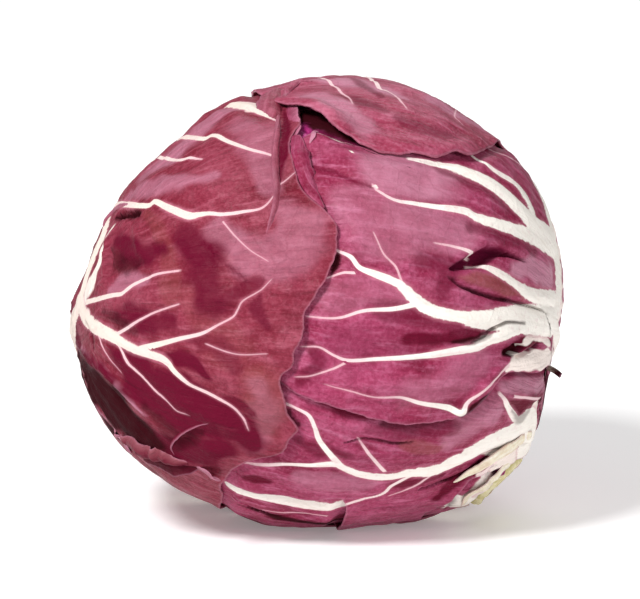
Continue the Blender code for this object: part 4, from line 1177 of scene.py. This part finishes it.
def leafMaterial(name, look):
    g = Graph(name)
    where = g.place()
    flow = g.node("ShaderNodeCombineXYZ", {}, {0: g.mark("flowAcross"), 1: g.mark("flowAlong") * flowStretch,
                                               2: 1.0})
    patterns = {key: g.noise(where, *values) for key, values in leafPatterns.items()}
    patterns |= {key: g.noise(flow, *values) for key, values in flowPatterns.items()}
    patterns["swell"] = g.mark("swell")
    bent = g.swayed(where, veinNet["swayScale"], veinNet["sway"])
    largeNet = 1 - g.cells(bent, veinNet["large"]).rise(0.0, 0.06)
    smallNet = 1 - g.cells(bent, veinNet["small"]).rise(0.0, 0.12)
    patchy = (patterns["streak"] - 0.5) * 1.2 + (patterns["mottle"] - 0.5) * 1.2

    def stainAndLight(kind, colour):
        # Stains, painted shade and painted highlights alike, broken up by the streaks and the mottling
        return g.mix(g.mark(kind) * (1.3 + patchy), colour, leafFinish[kind])

    colour = g.mix(patterns["broad"].rise(0.34, 0.66), look["blade"], look["second"])
    for pattern, start, full, share, tone in bladePasses:
        colour = g.mix(patterns[pattern].rise(start, full) * share, colour, look[tone])
    # Olive is the leaf's own tone; the whitish marks are partly painted highlight and partly bloom, the deep
    # mark is painted shade in the tear's hole, and the crimson and dark marks are partly painted shade in
    # tears, slits and creases.
    colour = stainAndLight("olive", colour)
    colour = stainAndLight("highlightAndBloom", colour)
    colour = g.mix(largeNet * patterns["mottle"].rise(0.35, 0.6) * 0.14, colour, look["deep"])
    colour = g.mix(smallNet * patterns["mottle"].rise(0.4, 0.6) * 0.12, colour, look["light"])
    colour = stainAndLight("crimson", colour)
    colour = g.mix(g.mark("deep"), colour, leafFinish["deep"])
    colour = stainAndLight("dark", colour)
    colour = g.mix((g.mark("pale") * (1 + patchy * 0.7)).rise(0.25, 0.75), colour, leafFinish["pale"])

    # Veins: a white core on the wide ones, a pink line on the thin ones, and a soft pink border. A thin vein
    # shows only where its number is whole, because between two veins the marks run into each other.
    number, veinHalf = g.mark("veinNumber"), g.mark("veinHalf")
    oneVein = (number - number.math("ROUND", number)).size().rise(0.06, 0.01)
    veinNear = g.mark("veinNear") * oneVein
    insideVein = veinHalf - g.mark("veinOffset").size()
    raggedness = (patterns["fray"] - 0.5) * 1.0 + (patterns["streak"] - 0.5) * 1.4
    ribEdge = g.mark("ribDepth") + raggedness * g.mark("ribHalf").rise(0.3, 1.8, 0.12, 1.0)
    core = ribEdge.rise(*veinEdges["rib"])
    thinCore = (insideVein + (patterns["fray"] - 0.5) * 0.10).rise(*veinEdges["thin"]) * veinNear
    thinColour = g.mix(veinHalf.rise(0.15, 0.75), leafFinish["thinVein"], look["rib"])
    ribColour = g.mix(g.mark("ribHalf").rise(1.4, 0.5) * 0.3, look["rib"], leafFinish["thinVein"])
    ribColour = g.mix(patterns["fray"].rise(0.52, 0.8) * 0.25, ribColour, leafFinish["halo"])
    ribColour = g.mix(patterns["streak"].rise(0.5, 0.3) * 0.2, ribColour, leafFinish["shade"])
    # The painted shade of the dark and deep marks also darkens the ribs that cross them
    ribColour = g.mix(g.mark("dark") * 0.9, ribColour, leafFinish["dark"])
    ribColour = g.mix(g.mark("deep"), ribColour, leafFinish["deep"])
    colour = g.mix(ribEdge.rise(*veinEdges["ribHalo"]) * 0.45, colour, leafFinish["halo"])
    colour = g.mix(insideVein.rise(*veinEdges["thinHalo"]) * veinNear * 0.25, colour, leafFinish["halo"])
    colour = g.mix(thinCore * veinHalf.rise(0.0, 0.45, 0.45, 1.0), colour, thinColour)
    colour = g.mix(core, colour, ribColour)
    # Painted highlight: lighter along the margin of each leaf and strip
    rim = 1 - g.mark("marginAway").rise(0.1, 0.6)
    colour = g.mix(rim * 0.35, colour, leafFinish["highlightAndBloom"])

    white = core.math("MAXIMUM", core, thinCore * 0.6)
    height = white * 0.30 + largeNet * 0.08 + smallNet * 0.05 + patterns["mottle"] * 0.6
    height = height + patterns["streak"] * (1.2 - white * 0.8) + patterns["grain"] * 0.22
    darkness = g.mark("dark") + g.mark("deep") + g.mark("crimson") * 0.5
    gloss = patterns["shine"].rise(0.3, 0.7, 0.36, 0.50) + white * 0.08 + darkness * 0.4
    return g.finish({"Base Color": colour, "Roughness": gloss, "Specular IOR Level": leafFinish["specular"],
                     "Normal": g.bump(height, 0.9, leafFinish["bump"])})


materials = {key: leafMaterial(key + "_leaf_blade", look) for key, look in leafLooks.items()}
for layer, leaf in enumerate(leaves):
    leaf["layer"] = layer
    prepareMargin(leaf, layer)
    prepareVeins(leaf)
print("leaves prepared")
for leaf in leaves:
    addLeaf(leaf, materials[leaf["look"]])
for strip in strips:
    addStrip(strip, materials[strip["look"]])
print("strips made")

heart = {
    "subdivisions": 6,
    "layer": 0.6 * mm,  # how far each folded leaf stands out over the next
    "layerTurns": (10, 130, 250),
    "layerReach": 0.85,
    "layerEdge": 0.12,
    "pit": 11 * mm,  # room for the stem
    "pitRadius": 13.5 * mm,
    "pitWall": 3.0 * mm,
}
cutStem = {
    "radius": 8.6 * mm,
    "standsOut": -0.9 * mm,
    "sides": 96,
    "profile": [(0.30, -0.9), (0.55, -0.5), (0.78, -0.1), (0.88, -0.3), (0.96, -1.0), (1.0, -2.2),
                (0.98, -3.6), (0.94, -5.0), (0.90, -7.5), (0.86, -10.5)],  # shares of the radius, and mm
    "dip": -1.1,
    "lumps": [(0.35 * mm, 3 * mm), (0.12 * mm, 1 * mm)],  # heights and sizes
    "sideFrom": 0.6,  # mm under the cut where the side starts
}
stemFinish = {
    "flesh": rgb(226, 218, 178),
    "fleshDark": rgb(204, 192, 136),
    "fine": rgb(240, 234, 206),
    "ring": rgb(138, 92, 78),
    "pith": rgb(150, 104, 92),
    "side": rgb(178, 176, 96),
    "ringAt": 0.62,  # share of the radius
    "bump": 0.5 * mm,
    "specular": 0.3,
}


def makeHeart():
    ball = bmesh.new()
    bmesh.ops.create_icosphere(ball, subdivisions=heart["subdivisions"], radius=1)
    n = unit([v.co for v in ball.verts])
    layer = sum(heart["layer"] * smoothStep(0.5 + (angleTo(n, turned(turn, 70)) - heart["layerReach"])
                                            / heart["layerEdge"]) for turn in heart["layerTurns"])
    fromStem = angleTo(n, stemAxis) * meanRadius
    pit = heart["pit"] * smoothStep((heart["pitRadius"] - fromStem) / heart["pitWall"])
    height = -depthBelow(n, leaves)[0] - layers["gap"] - layer - pit
    for vert, point in zip(ball.verts, place(n, height).tolist()):
        vert.co = point
    addPiece("tight_heart", meshFrom(ball, "tight_heart", {}), materials["inner"], "heart")


def stemMaterial():
    g = Graph("cut_stem_flesh")
    where = g.place()
    ring = g.mark("ring")
    mottle = g.noise(where, 0.0035, 4.0, 0.6)
    fine = g.noise(where, 0.0008)
    colour = g.mix(mottle.rise(0.35, 0.65), stemFinish["flesh"], stemFinish["fleshDark"])
    colour = g.mix(fine.rise(0.5, 0.7) * 0.4, colour, stemFinish["fine"])
    fromRing = (ring - stemFinish["ringAt"] + (mottle - 0.5) * 0.3).size()
    colour = g.mix((1 - fromRing.rise(0.03, 0.12)) * 0.75, colour, stemFinish["ring"])
    colour = g.mix((1 - ring.rise(0.0, 0.35)) * mottle.rise(0.4, 0.6) * 0.7, colour, stemFinish["pith"])
    colour = g.mix(g.mark("side") * mottle.rise(0.45, 0.6) * 0.5, colour, stemFinish["side"])
    return g.finish({"Base Color": colour, "Roughness": mottle.rise(0.3, 0.7, 0.5, 0.7),
                     "Normal": g.bump(mottle * 0.7 + fine * 0.4, 0.8, stemFinish["bump"]),
                     "Specular IOR Level": stemFinish["specular"]})


def makeStem():
    # A turned stub with a slightly hollow cut face, made lumpy afterwards
    lathe = bmesh.new()
    points = [(0.0, cutStem["dip"])] + cutStem["profile"] + [(0.0, cutStem["profile"][-1][1])]
    verts = [lathe.verts.new((share * cutStem["radius"], 0, depth * mm)) for share, depth in points]
    edges = [lathe.edges.new(pair) for pair in zip(verts, verts[1:])]
    bmesh.ops.spin(lathe, geom=verts + edges, axis=(0, 0, 1), cent=(0, 0, 0), angle=2 * math.pi,
                   steps=cutStem["sides"], use_merge=True)
    bmesh.ops.remove_doubles(lathe, verts=list(lathe.verts), dist=0.01 * mm)
    bmesh.ops.subdivide_edges(lathe, edges=list(lathe.edges), cuts=1, use_grid_fill=True)
    bmesh.ops.recalc_face_normals(lathe, faces=list(lathe.faces))
    outside = stemAxis * (float(np.linalg.norm(skin(stemAxis[None])[0])) + cutStem["standsOut"])
    centre = Vector((outside @ drawingAxes - restingPoint).tolist())
    turn = Vector((stemAxis @ drawingAxes).tolist()).to_track_quat("Z", "Y")
    rings, sides = [], []
    for vert in lathe.verts:
        rings.append(math.hypot(vert.co.x, vert.co.y) / cutStem["radius"])
        sides.append(min(1.0, max(0.0, -vert.co.z / mm - cutStem["sideFrom"])))
        lump = sum(height * noise.noise(vert.co / size) for height, size in cutStem["lumps"])
        lumpy = vert.co * (1 + lump / cutStem["radius"]) + Vector((0, 0, lump))
        vert.co = turn @ lumpy + centre
    mesh = meshFrom(lathe, "cut_stem", {"ring": rings, "side": sides})
    addPiece("cut_stem", mesh, stemMaterial(), "stem")


makeHeart()
makeStem()
print("heart and stem made")

studio = {
    "distance": 2.4,
    "pictureWidth": 640,
    "sensor": 36,
    "floor": rgb(250, 250, 250),
    "floorSize": 6,
    "floorGlow": 0.2,
    "world": 0.30,
    "lights": [  # name, place, width in metres, and power
        ("key", (-0.55, -0.70, 0.95), 0.36, 17),
        ("fill", (0.85, -0.8, 0.45), 0.8, 3),
        ("back", (0.2, 0.8, 0.9), 0.8, 4),
    ],
    "lightsAim": (0, 0, 0.05),
}


def addFloor():
    sheet = bmesh.new()
    bmesh.ops.create_grid(sheet, x_segments=1, y_segments=1, size=studio["floorSize"])
    mesh = meshFrom(sheet, "floor", {})
    floor = bpy.data.objects.new("floor", mesh)
    bpy.context.scene.collection.objects.link(floor)
    mesh.materials.append(Graph("pale_floor").finish({
        "Base Color": studio["floor"], "Roughness": 0.9,
        "Emission Color": studio["floor"], "Emission Strength": studio["floorGlow"],
    }))


def addLight(name, where, size, power):
    light = bpy.data.lights.new(name, "AREA")
    light.shape = "DISK"
    light.size, light.energy = size, power
    lamp = bpy.data.objects.new(name, light)
    lamp.location = where
    lamp.rotation_mode = "QUATERNION"
    lamp.rotation_quaternion = (Vector(studio["lightsAim"]) - Vector(where)).to_track_quat("-Z", "Y")
    bpy.context.scene.collection.objects.link(lamp)


def addCamera():
    # Far back along the drawing's own view, so that one step of its grid is one step of the picture
    back = Vector((0, -tiltCosine, tiltSine))
    aside = (studio["pictureWidth"] / 2 - drawing["middle"][0]) * gridStep
    aim = Vector((-restingPoint).tolist()) + Vector((aside, 0, 0))
    data = bpy.data.cameras.new("camera")
    data.sensor_width = studio["sensor"]
    data.lens = studio["sensor"] * studio["distance"] / (studio["pictureWidth"] * gridStep)
    camera = bpy.data.objects.new("camera", data)
    camera.location = aim + back * studio["distance"]
    camera.rotation_mode = "QUATERNION"
    camera.rotation_quaternion = (-back).to_track_quat("-Z", "Y")
    bpy.context.scene.collection.objects.link(camera)
    bpy.context.scene.camera = camera


addFloor()
for light in studio["lights"]:
    addLight(*light)
addCamera()
scene = bpy.context.scene
scene.view_settings.view_transform = "Standard"
world = bpy.data.worlds.new("studio")
world.use_nodes = True
world.node_tree.nodes["Background"].inputs["Color"].default_value = (1, 1, 1, 1)
world.node_tree.nodes["Background"].inputs["Strength"].default_value = studio["world"]
scene.world = world
print("studio ready")
